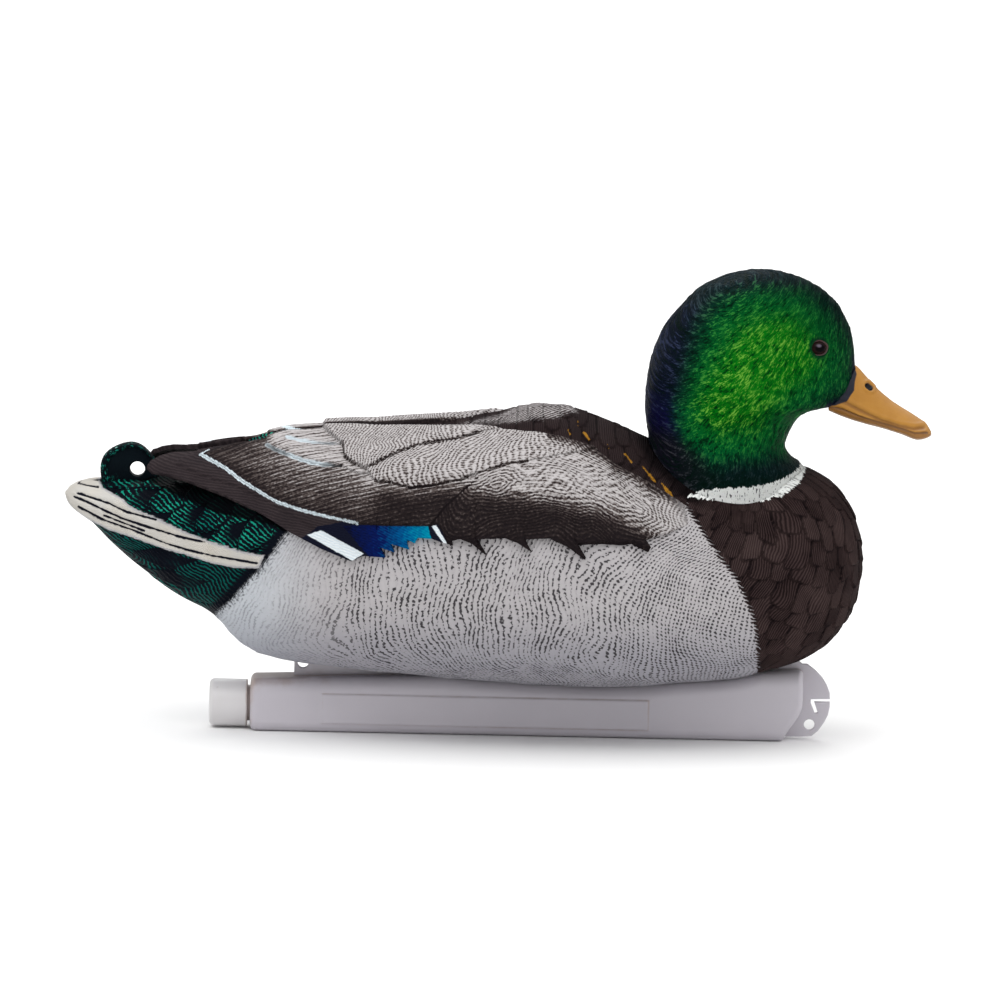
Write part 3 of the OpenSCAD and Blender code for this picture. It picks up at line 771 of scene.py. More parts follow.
def wing_stations(edge):
    """Positions along the wing, close together at the tip and one on every notch."""
    tip = WING_X0 + np.array([0, 0.04, 0.14, 0.32, 0.6, 0.95])
    x = np.concatenate([tip, np.arange(WING_X0 + 1.5, WING_X1, 0.6)])
    for notch in edge[edge[:, 0] > -62, 0]:
        x[np.argmin(np.abs(x - notch))] = notch
    return np.unique(x)


def blade_section(x, low_q, t):
    """Section of the free primaries: a shallow bow from the top edge to the lower edge."""
    top_y, top_q, low_y = line(BLADE_TOP_Y, x), line(BLADE_TOP_Q, x), line(BLADE_LOW_Y, x)
    top_z = (top_q + top_y * math.sin(SIGHT)) / math.cos(SIGHT)
    low_z = (low_q + low_y * math.sin(SIGHT)) / math.cos(SIGHT)
    chord = math.hypot(low_y - top_y, top_z - low_z)
    bow = np.sin(math.pi * t) * 0.09 * chord
    d = np.array([top_z - low_z, low_y - top_y]) / max(chord, 1e-6)
    y, z = mix(top_y, low_y, t) + d[0] * bow, mix(top_z, low_z, t) + d[1] * bow
    return np.stack([np.full(len(t), x), y, z], -1)


def wing_sheet():
    """Stations, upper surface and arc lengths of the left wing, lying just over the body."""
    edge = np.array(WING_EDGE)
    edge[:, 0] = np.maximum.accumulate(edge[:, 0] + np.arange(len(edge)) * 1e-4)
    stations = wing_stations(edge)
    body, arcs = body_table(stations, 700)
    q = sight_height(body)
    centre = curve(WAIST, stations)[:, None]
    body_n = grid_normals(body, np.stack([0 * q, body[..., 1] + 1e-3, body[..., 2] - centre], -1))

    def arc_at(i, height):
        """Arc length at which station i falls to a sight height, above the turn under the body."""
        k = int(np.argmin(q[i]))
        return np.interp(-height, np.maximum.accumulate(-q[i, :k]), arcs[i, :k])

    cape_arc = arc_at(int(np.argmin(np.abs(stations - CAPE_X))), line(CAPE_EDGE, CAPE_X))
    t = np.linspace(0, 1, WROWS)
    wing, wing_s = np.zeros((len(stations), WROWS, 3)), np.zeros((len(stations), WROWS))
    for i, x in enumerate(stations):
        if x < CAPE_X:
            s_top = np.interp(max(1.5, ridge_y(x) - 13), body[i, :300, 1], arcs[i, :300])
            s_top = mix(min(s_top, 18.0), cape_arc, ramp(-22, CAPE_X, x))
        else:
            s_top = arc_at(i, line(CAPE_EDGE, x))
        low_q = line(edge, x)
        s_low = max(arc_at(i, low_q), s_top + 0.3)
        s_even = max(arc_at(i, line(EVEN_EDGE, x)), s_top + 0.3)
        s = mix(s_top, s_low, t)
        section = np.stack([np.full(WROWS, x)] + [np.interp(s, arcs[i], body[i, :, c]) for c in (1, 2)], -1)
        normal = np.stack([np.interp(s, arcs[i], body_n[i, :, c]) for c in range(3)], -1)
        reach = np.clip((s - s_top) / (s_even - s_top), 0, 1)
        lift = (0.15 + 2.4 * reach ** 0.8) * (1 - ramp(66, 92, x)) - 0.6 * ramp(80, 96, x)
        section = section + normal * lift[:, None]
        spread = np.clip(s - s_even + 0.8, 0, 9) * ramp(-62, -56, x) * (1 - ramp(72, 80, x))
        section[:, 0] += 0.85 * spread
        on_body = ramp(-122, -94, x)
        section = mix(blade_section(x, low_q, t), section, on_body) if on_body < 1 else section
        wing[i] = section
        around = s_top + np.concatenate([[0], np.cumsum(np.linalg.norm(np.diff(section, axis=0), axis=1))])
        wing_s[i] = mix(around, s, on_body)
    return stations, wing, wing_s


# Feather layers, (x, sight height) edges of each group
BLADE2 = [(-148.4, 120.7), (-145.7, 119.7), (-138.6, 117), (-131.4, 114.4), (-120, 111.2), (-106.7, 105.3),
          (-94.2, 98.7), (-83.4, 92.8), (-66, 84), (-20, 60), (300, 60), (300, 400), (-138.8, 400),
          (-138.8, 125.5), (-143.7, 124.7), (-146.5, 122.9)]
TERTIAL_LOW = [(-137, 124.6), (-130.8, 121.5), (-125.3, 118.7), (-119.1, 114.1), (-111.4, 109.8),
               (-100.5, 103.9), (-88.1, 100.3), (-78.9, 98.2), (-69.7, 96.5), (-63.5, 95.1)]
TERTIAL = TERTIAL_LOW + [(-50, 94.6), (-31, 95), (-27, 96.2), (-24, 92), (-19, 80), (300, 60), (300, 400),
                         (-118.7, 400), (-118.7, 131.2), (-126.3, 129.1), (-133.2, 126.6)]
WHITE_LINE = [(-133.2, 126.6)] + TERTIAL_LOW
INNER_LINE = [(-99.6, 138.6), (-87.1, 136.5), (-70.9, 134.6)]  # its far end, on the inner slope
UPPER_LOW = [(-106.4, 129.9), (-102.5, 128), (-96.3, 125.9), (-91.7, 124.1), (-85.5, 122.5),
             (-79.4, 121.6), (-71.7, 121.4)]
UPPER = UPPER_LOW + [(-64, 118), (300, 110), (300, 400), (-106.4, 400)]
UPPER_MARK = [(-97.3, 133.9), (-91.9, 132.5), (-84.2, 131.5), (-71.9, 131)]
SCAP_TIP = [(-71.3, 130.5), (-70.2, 124.9), (-66.4, 121.9)]
SCAP_V = SCAP_TIP + [(-60.2, 119.7), (-57.1, 120.9), (-45.8, 127.3), (-35.9, 131.4), (-19.8, 134.4),
                     (-8.5, 137.7)]
SCAP_A = SCAP_V + [(60, 150), (60, 400), (-95, 400), (-95, 150)]
SCAP_2 = [(-56.2, 114.8), (-49.3, 114.2), (-39.3, 111.7), (-30.1, 113.1), (-17.3, 116),
          (-8.1, 119.2), (3.4, 123.2), (14, 125)]
SCAP_B = [(-60, 119.7)] + SCAP_2 + [(60, 135), (60, 400), (-95, 400), (-95, 150)] + SCAP_TIP
COVERT = [(-31, 94), (-24, 103), (-14, 113), (-17.3, 116), (-30, 113), (-39, 111.7), (-49, 114.2),
          (-56.2, 114.8), (-60, 119.7), *SCAP_TIP[::-1], (-95, 150), (-95, 400), (300, 400), (300, 40),
          (-20, 40)]
COVERT_LINE = [(-31, 94), (-24, 103), (-14, 113), (-9, 117)]
SPECULUM = [(-70.5, 94), (-55.8, 95), (-42.8, 96), (-31.3, 95.6), (-29.5, 89.2), (-27, 84), (-53, 76),
            (-59.4, 81.8)]
BAR_1 = [(-87.2, 89.6), (-80.3, 92.1), (-59.8, 81.8), (-65.5, 78.0)]
BAR_2 = [(-30.1, 95), (-27.5, 95.6), (-21.9, 86.5), (-24.2, 87.1)]
MIRROR = [(-82, 93.5), (-69.6, 96), (-26.5, 97), (-20.5, 84), (-24, 74), (-66, 74), (-90, 87.5)]
GREY = [(-71.3, 129.9), (-70.2, 124.9), (-60.4, 120), (-56.1, 115), (-39.4, 111.6), (-21.9, 115.2),
        (-8, 112.8), (10.6, 110.8), (29.1, 108.5), (47.7, 105), (60, 101), (69, 96), (76, 86),
        (90, 60), (120, 60), (120, 200), (-74, 200)]
THIRD_SCAP = [(-12, 112), (8, 116), (48, 111), (66, 104)]  # middle of the lowest big shoulder feather


def calm_rows(n, reach):
    """Normals n of one row averaged over its neighbours."""
    wide = np.pad(n, ((reach, reach), (0, 0)), mode="edge")
    m = sum(wide[i:i + len(n)] for i in range(2 * reach + 1))
    return m / np.linalg.norm(m, axis=1, keepdims=True)


def layer(d, h):
    """A step of height h along the edge of a feather group, sinking back further in."""
    return h * ramp(-0.5, 0.6, d) * (1 - 0.85 * ramp(3, 26, d))


def wing_phase(x, q, s, group):
    """Value that grows across the fine lines of each feather group."""
    drift = 5.0 * value_noise(x / 24, s / 18, 22) + 2.2 * value_noise(x / 9, s / 8, 25)
    axis_a, axis_b = 122 + 0.33 * (x + 62), 116.5 + 0.2 * (x + 56)
    arch_a = x - 0.03 * (q - axis_a) ** 2
    arch_b = 0.9 * x - 0.35 * q - 0.03 * (q - axis_b) ** 2
    arch_c = path_distance(THIRD_SCAP, x, q)[0] + 3.2 * value_noise(x / 14, s / 11, 26)
    coverts = np.where(group["scap_a"] > 0, arch_a, np.where(group["scap_b"] > 0, arch_b, arch_c)) + drift
    long_lines = (q - 0.33 * x + 0.0012 * (x + 80) ** 2) * 1.15
    tertials = np.where(group["upper"] > 0, s * 0.8 + 0.12 * x, long_lines)
    wavy = tertials + 0.7 * value_noise(x / 14, s / 8, 23)
    primaries = q + 0.18 * x + 0.3 * drift
    lines = np.where(group["tertial"] < 0, primaries, np.where(group["covert"] < 0, wavy, coverts))
    return lines, tertials


def wing_tone(x, y, q, group):
    """How pale the ground is, from 0 to 1, and how deep in the valley beside the back."""
    tip_side = 1 - ramp(-62, -48, x)
    tertials = 0.34 * ramp(0, 22, group["tertial"]) + 0.20 * ramp(0, 6, group["tertial"])
    tone = ramp(-9, 7, group["grey"]) + 0.66 * ramp(-2, 6, group["upper"]) + tertials * tip_side
    tone = np.clip(tone, 0, 1)
    valley = ramp(ridge_y(x) * 0.66, ridge_y(x) * 0.44, y) * (1 - ramp(26, 34, x))
    valley = valley * (1 - ramp(-1.5, 2, polygon_distance(MANTLE, x, q)))
    cape_d = -polygon_distance(BREAST, x, q)
    cape_fade = np.where(x > 22, 1 - 0.75 * ramp(6.5, 0.5, cape_d), 1)
    return tone * (1 - valley) * cape_fade, valley


def wing_skin():
    """Stations, smooth sheet, its normals, the sheet with relief and the paint values of the left wing."""
    stations, wing, s = wing_sheet()
    x, y, z = wing[..., 0], wing[..., 1], wing[..., 2]
    normals = grid_normals(wing, np.stack([0 * x, y + 5, z - 70], -1))
    q = sight_height(wing)
    groups = dict(blade=BLADE2, tertial=TERTIAL, upper=UPPER, scap_a=SCAP_A, scap_b=SCAP_B, covert=COVERT,
                  grey=GREY)
    group = {name: polygon_distance(area, x, q) for name, area in groups.items()}
    lines, tertials = wing_phase(x, q, s, group)
    coverts = ramp(-0.8, 0.8, group["covert"])
    crease_d = nearest((BLADE2[:9], SCAP_V, SCAP_2, UPPER_LOW, UPPER_MARK, COVERT_LINE), x, q)

    steps = dict(blade=0.9, tertial=0.9, upper=0.7, scap_a=1.0, scap_b=1.0)
    h = sum(layer(group[name], step) for name, step in steps.items())
    h = h - 0.3 * bell(crease_d, 0.8) + coverts * 0.16 * np.sin(lines * TAU / 1.95)
    grooves = np.sin(tertials * TAU / 3.4 + 1.5 * value_noise(x / 9, s / 5, 24))
    h = h + 0.22 * grooves * ramp(0, 2, group["tertial"]) * (1 - coverts)
    h = h * (1 - ramp(78, 96, x)) * ramp(0, 1.2, x - WING_X0 + 0.2)
    h = h * ramp(0, 0.03, np.linspace(0, 1, WROWS))[None, :]
    for row in range(110, WROWS):  # the notches must not tilt the relief
        normals[:, row] = calm_rows(normals[:, row], 10)

    tone, valley = wing_tone(x, y, q, group)
    inner_q = z * math.cos(SIGHT) + y * math.sin(SIGHT)  # height of the inner slope seen over the back
    wline_d = nearest([WHITE_LINE], x, q)
    wline_d = np.where(y < ridge_y(x) - 1, np.minimum(wline_d, nearest([INNER_LINE], x, inner_q)), wline_d)
    attrs = dict(tone=tone, valley=valley, phase=lines, covert=coverts, tert_d=group["tertial"],
                 crease_d=crease_d, wline_d=wline_d, low_d=q - line(EVEN_EDGE, x),
                 spec_d=polygon_distance(SPECULUM, x, q), mirror_d=polygon_distance(MIRROR, x, q),
                 bar_d=np.maximum(polygon_distance(BAR_1, x, q), polygon_distance(BAR_2, x, q)),
                 pale_d=nearest([UPPER_LOW, UPPER_MARK], x, q), across_x=x, sightz=q, arc=s)
    return stations, wing, normals, wing + normals * h[..., None], attrs


def wing_material():
    s = Shader("wing paint")
    co = s.coords()
    x, q = s.attr("across_x"), s.attr("sightz")
    n_mid, n_fine, n_dash = s.noise(co, 90, 3), s.noise(co, 560, 2), s.noise(co, 900, 1)
    ph, tone_a, cov = s.attr("phase"), s.attr("tone"), s.attr("covert")
    w1 = ph.wave(1.95, n_fine * 1.1 + n_mid * 1.3)
    w3 = (x * 0.8 + s.attr("arc") * 0.55).wave(2.2, n_mid * 1.2 + n_fine * 0.8)
    w2 = ph.wave(2.4, n_fine * 0.4 + n_mid * 0.9)
    beads = s.attr("arc").wave(1.5, n_fine * 1.2)
    crossing = x.step(-5, 25) * q.step(104, 114) * 0.55
    on_coverts = w1 * (1.0 - crossing * 0.45) + w3 * crossing
    lines = on_coverts * cov + (w2 * 0.75 + ph.wave(1.05, n_mid) * 0.35) * (1.0 - cov)
    front = x.step(72, 96)
    hollow = 1.0 - s.attr("valley") * 0.7
    v = (tone_a * 0.60 + 0.11 + lines * (tone_a * 0.18 + 0.10) * hollow + beads * (tone_a * 0.15 + 0.02)
         + n_dash * 0.6 + n_mid * 0.22)
    # darker in the valley beside the back, and painted shade along the lower edge of the coverts
    v = v - s.attr("valley") * 0.08 - s.attr("low_d").step(5.0, 0.0) * cov * 0.14 * x.step(82, 70)
    # painted shade along the creases at the edges of the feather groups
    v = v - (s.attr("crease_d") + n_mid * 1.2).step(0.75, 0.1) * 0.42 * (1.0 - front)
    col = s.ramp(v.clamped(),
                 [(0.0, (0.012, 0.009, 0.010)), (0.20, (0.023, 0.017, 0.017)), (0.42, (0.088, 0.071, 0.067)),
                  (0.62, (0.32, 0.298, 0.295)), (0.9, (0.49, 0.465, 0.467))])
    flank_lines = (ph.wave(2.1, n_fine) * 0.6 + n_dash * 1.9).step(0.35, 0.7)
    near_flank = s.colour((0.47, 0.45, 0.455), (0.03, 0.027, 0.03), flank_lines)
    col = s.colour(col, near_flank, (front + n_mid * 0.4).clamped() * front)
    prim = s.attr("tert_d").step(0.0, -0.6)
    barb = ph.wave(1.25, n_fine * 0.8)
    dark = s.ramp((0.45 + barb * 0.2 + n_mid * 0.7).clamped(),
                  [(0.0, (0.015, 0.012, 0.014)), (0.6, (0.033, 0.025, 0.027)), (1.0, (0.064, 0.051, 0.052))])
    col = s.colour(col, dark, prim)
    # speculum panel
    mir = (s.attr("mirror_d") + n_fine * 0.8).step(0.0, 0.25) * prim
    blue = s.ramp((x * 0.0245 + 1.70 + n_fine * 0.5 + (q + x * 0.5).wave(1.2) * 0.05).clamped(),
                  [(0.0, (0.003, 0.004, 0.016)), (0.40, (0.002, 0.008, 0.075)), (0.68, (0.0, 0.075, 0.22)),
                   (1.0, (0.0, 0.23, 0.34))])
    col = s.colour(col, (0.006, 0.007, 0.016), mir)
    col = s.colour(col, blue, (s.attr("spec_d") + n_fine * 0.9).step(0.0, 0.4) * mir)
    ice = s.colour((0.60, 0.68, 0.73), (0.72, 0.76, 0.78), (q + x * 0.4).wave(1.3, n_fine) * 0.5 + 0.5)
    col = s.colour(col, ice, (s.attr("bar_d") + n_fine * 0.8).step(0.0, 0.4))
    # white edging of the tertials
    edging = (s.attr("wline_d") + n_fine * 1.1 + (x + q).wave(1.1) * 0.12).step(0.78, 0.34)
    col = s.colour(col, (0.62, 0.71, 0.76), edging)
    pale = (s.attr("pale_d") + n_fine * 1.2).step(1.2, 0.3) * x.step(-70, -84)
    pale = pale * (n_mid * 2.4 + 0.55).clamped()
    col = s.colour(col, (0.55, 0.63, 0.68), pale)
    h = lines * 0.4 * (1.0 - prim) + barb * 0.25 * prim + n_fine * 0.35
    nrm = s.bump(h, 0.00055, 0.75)
    nrm = s.bump(n_mid, 0.0009, 0.3, nrm)
    rough = (0.60 + n_mid * 0.2 - mir * 0.25).clamped()
    return s.done(col, rough, nrm, spec=0.05)


def build_wings():
    """The upper sheet with its rims, and an underside behind the rump."""
    stations, wing, wing_n, sheet, attrs = wing_skin()
    material = wing_material()
    sheet_n = grid_normals(sheet, wing_n)
    rim_n = calm_rows(sheet_n[:, -1], 12)
    low = sheet[:, -1]
    rim = [low - rim_n * 0.35, low - rim_n * 1.9 + np.array([0, -0.35, 0.0])]
    deep = mix(low - rim_n * 4.0, rim[1], (1 - ramp(-104, -92, stations))[:, None])
    inner_rim = [sheet[:, 0] - sheet_n[:, 0] * 2.2, sheet[:, 0] - sheet_n[:, 0] * 0.8]
    full = np.concatenate([np.stack(inner_rim, 1), sheet, np.stack(rim + [deep], 1)], 1)
    full_attrs = {key: np.pad(v, ((0, 0), (2, 3)), mode="edge") for key, v in attrs.items()}

    rows = np.linspace(WROWS - 1, 0, 40).astype(int)
    free = stations < -88
    under = (wing[:, rows] - wing_n[:, rows] * 2.1)[free]
    under_attrs = {key: v[free][:, rows] for key, v in attrs.items()}
    plain = dict(tert_d=-5, mirror_d=-5, bar_d=-9, wline_d=9, pale_d=9)  # nothing but primaries below
    under_attrs.update({key: np.full(under.shape[:2], v) for key, v in plain.items()})
    for side, tag in SIDES:
        for name, P, values in (("wing", full, full_attrs), ("primary_underside", under, under_attrs)):
            o = mesh_from_grid(f"{name}_{tag}", P if side > 0 else flipped(P), values, flip=side < 0)
            piece(o, "duck", "body_paint", material, "body_shell")


build_wings()

# ---------------------------------------------------------------- curled tail feathers

CURL_C, CURL_R = (-170.4, 118.4), 13.4
HOLE_C, HOLE_R = (-166.4, 119.9), 3.5
# Half of the section from the hole (0) to the rim (1), with half thicknesses; the other half mirrors it
CURL_SECTION = [(0.0, -3.2), (0.06, -3.6), (0.55, -3.3), (0.72, -3.2), (0.79, -4.1), (0.86, -4.5),
                (0.94, -4.2), (0.985, -3.0), (1.0, -1.5), (1.0, 0.0)]


def curl_ring():
    """Points round the ring of curled feathers, with position across and angle."""
    section = np.array(CURL_SECTION + [(f, -y) for f, y in CURL_SECTION[-2::-1]])
    steps = np.hypot(np.diff(section[:, 0]) * 10, np.diff(section[:, 1]))
    along = np.concatenate([[0], np.cumsum(steps)])
    fine = np.linspace(0, 1, 120) * along[-1]
    f, half = [np.interp(fine, along, section[:, c])[None] for c in (0, 1)]
    turn = np.linspace(0, TAU, 260, endpoint=False)[:, None]
    ca, sa = np.cos(turn), np.sin(turn)
    rim_r = CURL_R * (1 + 0.003 * np.sin(turn * 46) + 0.02 * np.sin(turn * 5 + 1))
    x = mix(HOLE_C[0] + HOLE_R * ca, CURL_C[0] + rim_r * ca, f)
    z = mix(HOLE_C[1] + HOLE_R * sa, CURL_C[1] + rim_r * sa, f)
    y = half + np.sign(half) * 0.10 * np.sin(turn * 46 + f * 3) * ramp(0.7, 0.9, f)
    curl = np.stack([x, y, z], -1)
    curl = np.concatenate([curl, curl[:, :1]], 1)
    radial = np.concatenate([f + 0 * ca, 0 * ca], 1)
    angle = np.repeat(turn, curl.shape[1], 1)
    attrs = dict(radial=np.concatenate([radial, radial[:1]], 0),
                 angle=np.concatenate([angle, angle[:1] + TAU], 0))
    return np.concatenate([curl, curl[:1]], 0), attrs


def curl_material():
    s = Shader("tail curl paint")
    co = s.coords()
    r, a = s.attr("radial"), s.attr("angle")
    n_mid, n_fine = s.noise(co, 120, 3), s.noise(co, 620, 2)
    w = s.noise(s.vector(a * 5.0, r * 20.0), 1.0, 2) * 3.0
    left = a.step(1.2, 1.9) * a.step(5.0, 4.2)  # the curl's outer side, away from the wing tips
    inner = r.step(0.40, 0.55) * a.step(3.2, 3.6) * a.step(5.2, 4.6)
    rim_m = (r + n_mid * 0.12).step(0.70, 0.86)
    teal = s.colour((0.0, 0.10, 0.085), (0.02, 0.34, 0.25), (n_mid * 2 + 0.5).clamped())
    base_c = s.colour((0.002, 0.003, 0.005), (0.005, 0.009, 0.012), (n_mid + 0.5).clamped())
    strokes = (w + n_fine * 2).step(0.1, 0.7) * (rim_m * (0.35 + left * 0.65) + inner).clamped()
    col = s.colour(base_c, teal, strokes * 0.85)
    # painted highlight: pale teal on the upper-left of the rim
    light = (w + n_fine * 3 - 0.25).step(0.2, 0.6) * r.step(0.88, 0.94) * a.step(1.4, 1.9) * a.step(3.1, 2.5)
    col = s.colour(col, (0.42, 0.58, 0.56), light * 0.6)
    nrm = s.bump(w * 0.4 * rim_m + n_fine * 0.5, 0.0007, 0.8)
    return s.done(col, (0.42 + n_mid * 0.3).clamped(), nrm, spec=0.05)


piece(mesh_from_grid("tail_curl", *curl_ring()), "duck", "body_paint", curl_material(), "body_shell")

# ---------------------------------------------------------------- head

HEAD_TOP, CROWN_Z = 218.4, 200
HN = 420  # points round the head
BILL_FOOT = (168.0, 232.0)  # the feather strokes fan out from here
EYE_X, EYE_Z, EYE_R = 146.5, 185.1, 3.6
EYE_WIDE, EYE_TALL = 1.18, 0.90
HEAD_GREEN = [(118, 209), (139.2, 208), (153, 199), (161, 183), (160, 165), (152, 157), (142, 150),
              (135, 141), (134, 131), (115.2, 127), (98, 126), (86, 132), (79, 142),
              (77, 154.8), (82, 167.5), (88, 182), (101, 200)]
CAP_BAND = [(165.5, 176), (165.3, 168.7), (164.6, 161.6), (161, 156), (153.6, 152.8)]  # dark bill border
WHITE_RING = [(86.3, 112), (95.2, 114.4), (105.8, 115.2), (115.5, 115.6), (126.1, 118), (133.1, 121),
              (139.0, 125.6), (140.3, 129.4), (150, 129), (150, 95), (84, 95)]


def head_y(x, z):
    """Half width of the head at a point of its side view."""
    front, back = float(curve(FACE, z)), float(curve(NAPE, z))
    c = (x - (front + back) / 2) / (front - back) * 2
    return float(curve(CHEEK, z)) * math.sin(math.acos(c)) * (1 - 0.2 * float(ramp(150, 172, z)) * c)


EYE_Y = head_y(EYE_X, EYE_Z)


def head_grid():
    """Points of the smooth head and their normals."""
    low = np.arange(SEAT_Z + 0.4, CROWN_Z, 0.55)
    high = CROWN_Z + (HEAD_TOP - CROWN_Z) * np.sin(np.linspace(0, math.pi / 2 * 0.998, 54))[1:]
    z = np.concatenate([low, high])[:, None]
    turn = -np.linspace(0, TAU, HN, endpoint=False)
    k = closing((z - CROWN_Z) / (HEAD_TOP - CROWN_Z), 2)
    front, back = curve(FACE, z), curve(NAPE, z)
    centre, half_l, half_w = (front + back) / 2, (front - back) / 2 * k, curve(CHEEK, z) * k
    taper = 0.2 * ramp(150, 172, z)  # the face is narrower than the back of the head
    points = np.stack([centre + half_l * np.cos(turn), half_w * np.sin(turn) * (1 - taper * np.cos(turn)),
                       z + 0 * turn], -1)
    upward = (points[..., 2] - 175) * np.where(points[..., 2] > 175, 1, 0.2)
    return points, grid_normals(points, np.stack([points[..., 0] - centre, points[..., 1], upward], -1))


def head_skin():
    """Points and paint values of the head with its relief."""
    base, base_n = head_grid()
    x, y, z = base[..., 0], base[..., 1], base[..., 2]
    q = sight_height(base)
    flow_u = np.hypot(x - BILL_FOOT[0], z - BILL_FOOT[1])
    flow_v = np.arctan2(z - BILL_FOOT[1], BILL_FOOT[0] - x) * 74 + np.abs(y) * 0.5
    strokes = (value_noise(flow_u / 3.6, flow_v / 1.15, 31)
               + 0.6 * value_noise(flow_u / 2.2 + 9, flow_v / 0.8, 32)
               + 0.5 * value_noise(x / 1.6 + y / 2.1, z / 1.7, 33))
    lumps = value_noise(x / 9 + y / 11, z / 9, 34)
    eye_d = np.sqrt((x - EYE_X) ** 2 + (np.abs(y) - EYE_Y) ** 2 + (z - EYE_Z) ** 2)
    h = 0.20 * (strokes + lumps) * ramp(3.4, 7.5, eye_d)
    h = h + 0.75 * bell(eye_d - 4.5, 1.1) - 1.0 * bell(eye_d, 3.2, 4)  # brow ring and socket
    h = h - 0.48 * bell(eye_d - 8.5, 4.0) * (x < EYE_X + 4)
    h = h * ramp(SEAT_Z, 127, z) * np.where(z < 126, 0.25, 1.0)
    attrs = dict(white_d=polygon_distance(WHITE_RING, x, q), green_d=polygon_distance(HEAD_GREEN, x, q),
                 band_d=nearest([CAP_BAND], x, q), stroke=strokes, rear=x - 88 - 0.15 * (z - 150),
                 flow_u=flow_u, flow_v=flow_v, hz=z, hx=x, eye_d=eye_d)
    return base + base_n * h[..., None], attrs


def head_material():
    s = Shader("head paint")
    co = s.coords()
    n_big, n_mid, n_fine = s.noise(co, 35, 2), s.noise(co, 120, 3), s.noise(co, 900, 2)
    fl = s.vector(s.attr("flow_u") * 0.36, s.attr("flow_v") * 1.75, s.attr("hz") * 0.10)
    hair = s.noise(fl, 1.0, 3.0, 0.6, 0.6)
    hair2 = s.noise(fl, 2.1, 2.0, 0.6, 0.8)
    stroke = s.attr("stroke")
    gd = s.attr("green_d") + n_big * 9 + hair * 6
    z, x = s.attr("hz"), s.attr("hx")
    bright = gd.step(-7, 8)
    core = gd.step(8, 22)
    deep = s.colour((0.002, 0.010, 0.012), (0.0005, 0.065, 0.022), bright)
    col = s.colour(deep, (0.0005, 0.112, 0.020), gd.step(-1, 11))
    cheek = s.colour((0.001, 0.130, 0.002), (0.003, 0.235, 0.006), z.step(142, 168))
    col = s.colour(col, cheek, core * 0.85)
    navy = (s.attr("rear") + n_big * 12 + hair * 8).step(2, -12) * z.step(213, 196)
    blue_black = s.colour((0.005, 0.003, 0.040), (0.004, 0.007, 0.017), z.step(146, 172))
    col = s.colour(col, blue_black, navy * 0.92)
    col = s.colour(col, (0.006, 0.015, 0.022), (z + n_big * 8).step(208, 217) * 0.8)
    nape = x.step(108, 76)
    neck = (z - nape * 19.0 + n_big * 6 + hair * 6).step(131, 120)
    col = s.colour(col, s.colour((0.0015, 0.012, 0.008), (0.006, 0.006, 0.010), nape), neck * 0.92)
    # ridge tips painted lighter: drybrush and painted sheen, the sheen stronger higher up the head
    tips = (stroke * 0.22 + hair * 2.1 + hair2 * 2.0 + n_fine * 0.4).step(0.20, 0.38)
    drybrush_and_sheen = s.colour((0.045, 0.075, 0.085), (0.06, 0.44, 0.06), bright)
    drybrush_and_sheen = s.colour(drybrush_and_sheen, (0.28, 0.66, 0.07), core * 0.8)
    drybrush_and_sheen = s.colour(drybrush_and_sheen, (0.045, 0.060, 0.13), navy)
    drybrush_and_sheen = s.colour(drybrush_and_sheen, (0.11, 0.11, 0.13), neck * nape)
    col = s.colour(col, drybrush_and_sheen, tips * (0.56 + core * 0.28).clamped() * (z.step(134, 162) * 0.5 + 0.5))
    # painted shade in the furrows between the strokes
    furrow_shade = (stroke * 0.25 + hair * 2.0 + hair2 * 1.8).step(-0.10, -0.36)
    col = s.colour(col, (0.001, 0.008, 0.005), furrow_shade * 0.85)
    band = (s.attr("band_d") + n_mid * 1.4).step(4.6, 2.0)
    col = s.colour(col, (0.004, 0.006, 0.020), band * 0.95)
    ring_e = s.attr("eye_d").step(6.0, 4.2)
    col = s.colour(col, (0.004, 0.040, 0.018), ring_e * 0.8)
    turn = s.turn(co)
    white_d = s.attr("white_d") + s.noise(s.vector(turn * 30.0, z * 0.12), 1.0, 2) * 3.4 + n_mid * 1.0
    col = s.colour(col, collar_white(s, turn, z), white_d.step(-0.1, 0.35))
    nrm = s.bump(hair * 1.0 + hair2 * 0.9 + n_fine * 0.25, 0.0016, 1.0)
    rough = (0.40 + n_mid * 0.2 + hair * 0.2).clamped()
    return s.done(col, rough, nrm, spec=0.07)


def build_head():
    head, attrs = head_skin()
    material = head_material()
    o = mesh_from_grid("head", head, attrs, close_v=True)
    piece(o, "head", "head_paint", material, "head_shell")
    centre = np.repeat(head[-1].mean(0)[None], HN, 0) + [0, 0, 0.05]
    patch_attrs = {key: np.stack([v[-1], v[-1]], 0) for key, v in attrs.items()}
    o = mesh_from_grid("head_crown_patch", np.stack([head[-1], centre], 0), patch_attrs, close_v=True)
    piece(o, "head", "head_paint", material, "head_shell")


build_head()

# ---------------------------------------------------------------- bill

BILL_X0, TIP_X, TIP_L = 152.2, 189, 11
BN = 220  # points round the bill
NOSTRIL = [(169.9, 163.7), (171.1, 162.8)]
BILL_ROOT = [(163.2, 182), (163.6, 174), (164.5, 168.7), (163.7, 161.6), (160.4, 156.4), (154.5, 154.2),
             (148, 153.4), (140, 153.4), (140, 182)]
GROOVE = [(157, 156.4), (160.2, 155.4), (167, 151.9), (175.9, 147.9), (184.8, 145.2), (191.7, 144.3),
          (196, 144.8)]
MOUTH = [(150, 153.9), (158, 152.6), (166, 149.6), (176, 146.6), (186, 143.9), (192, 142.2), (198, 142.6)]


def power(v, n):
    """v to the power n, keeping its sign."""
    return np.sign(v) * np.abs(v) ** n


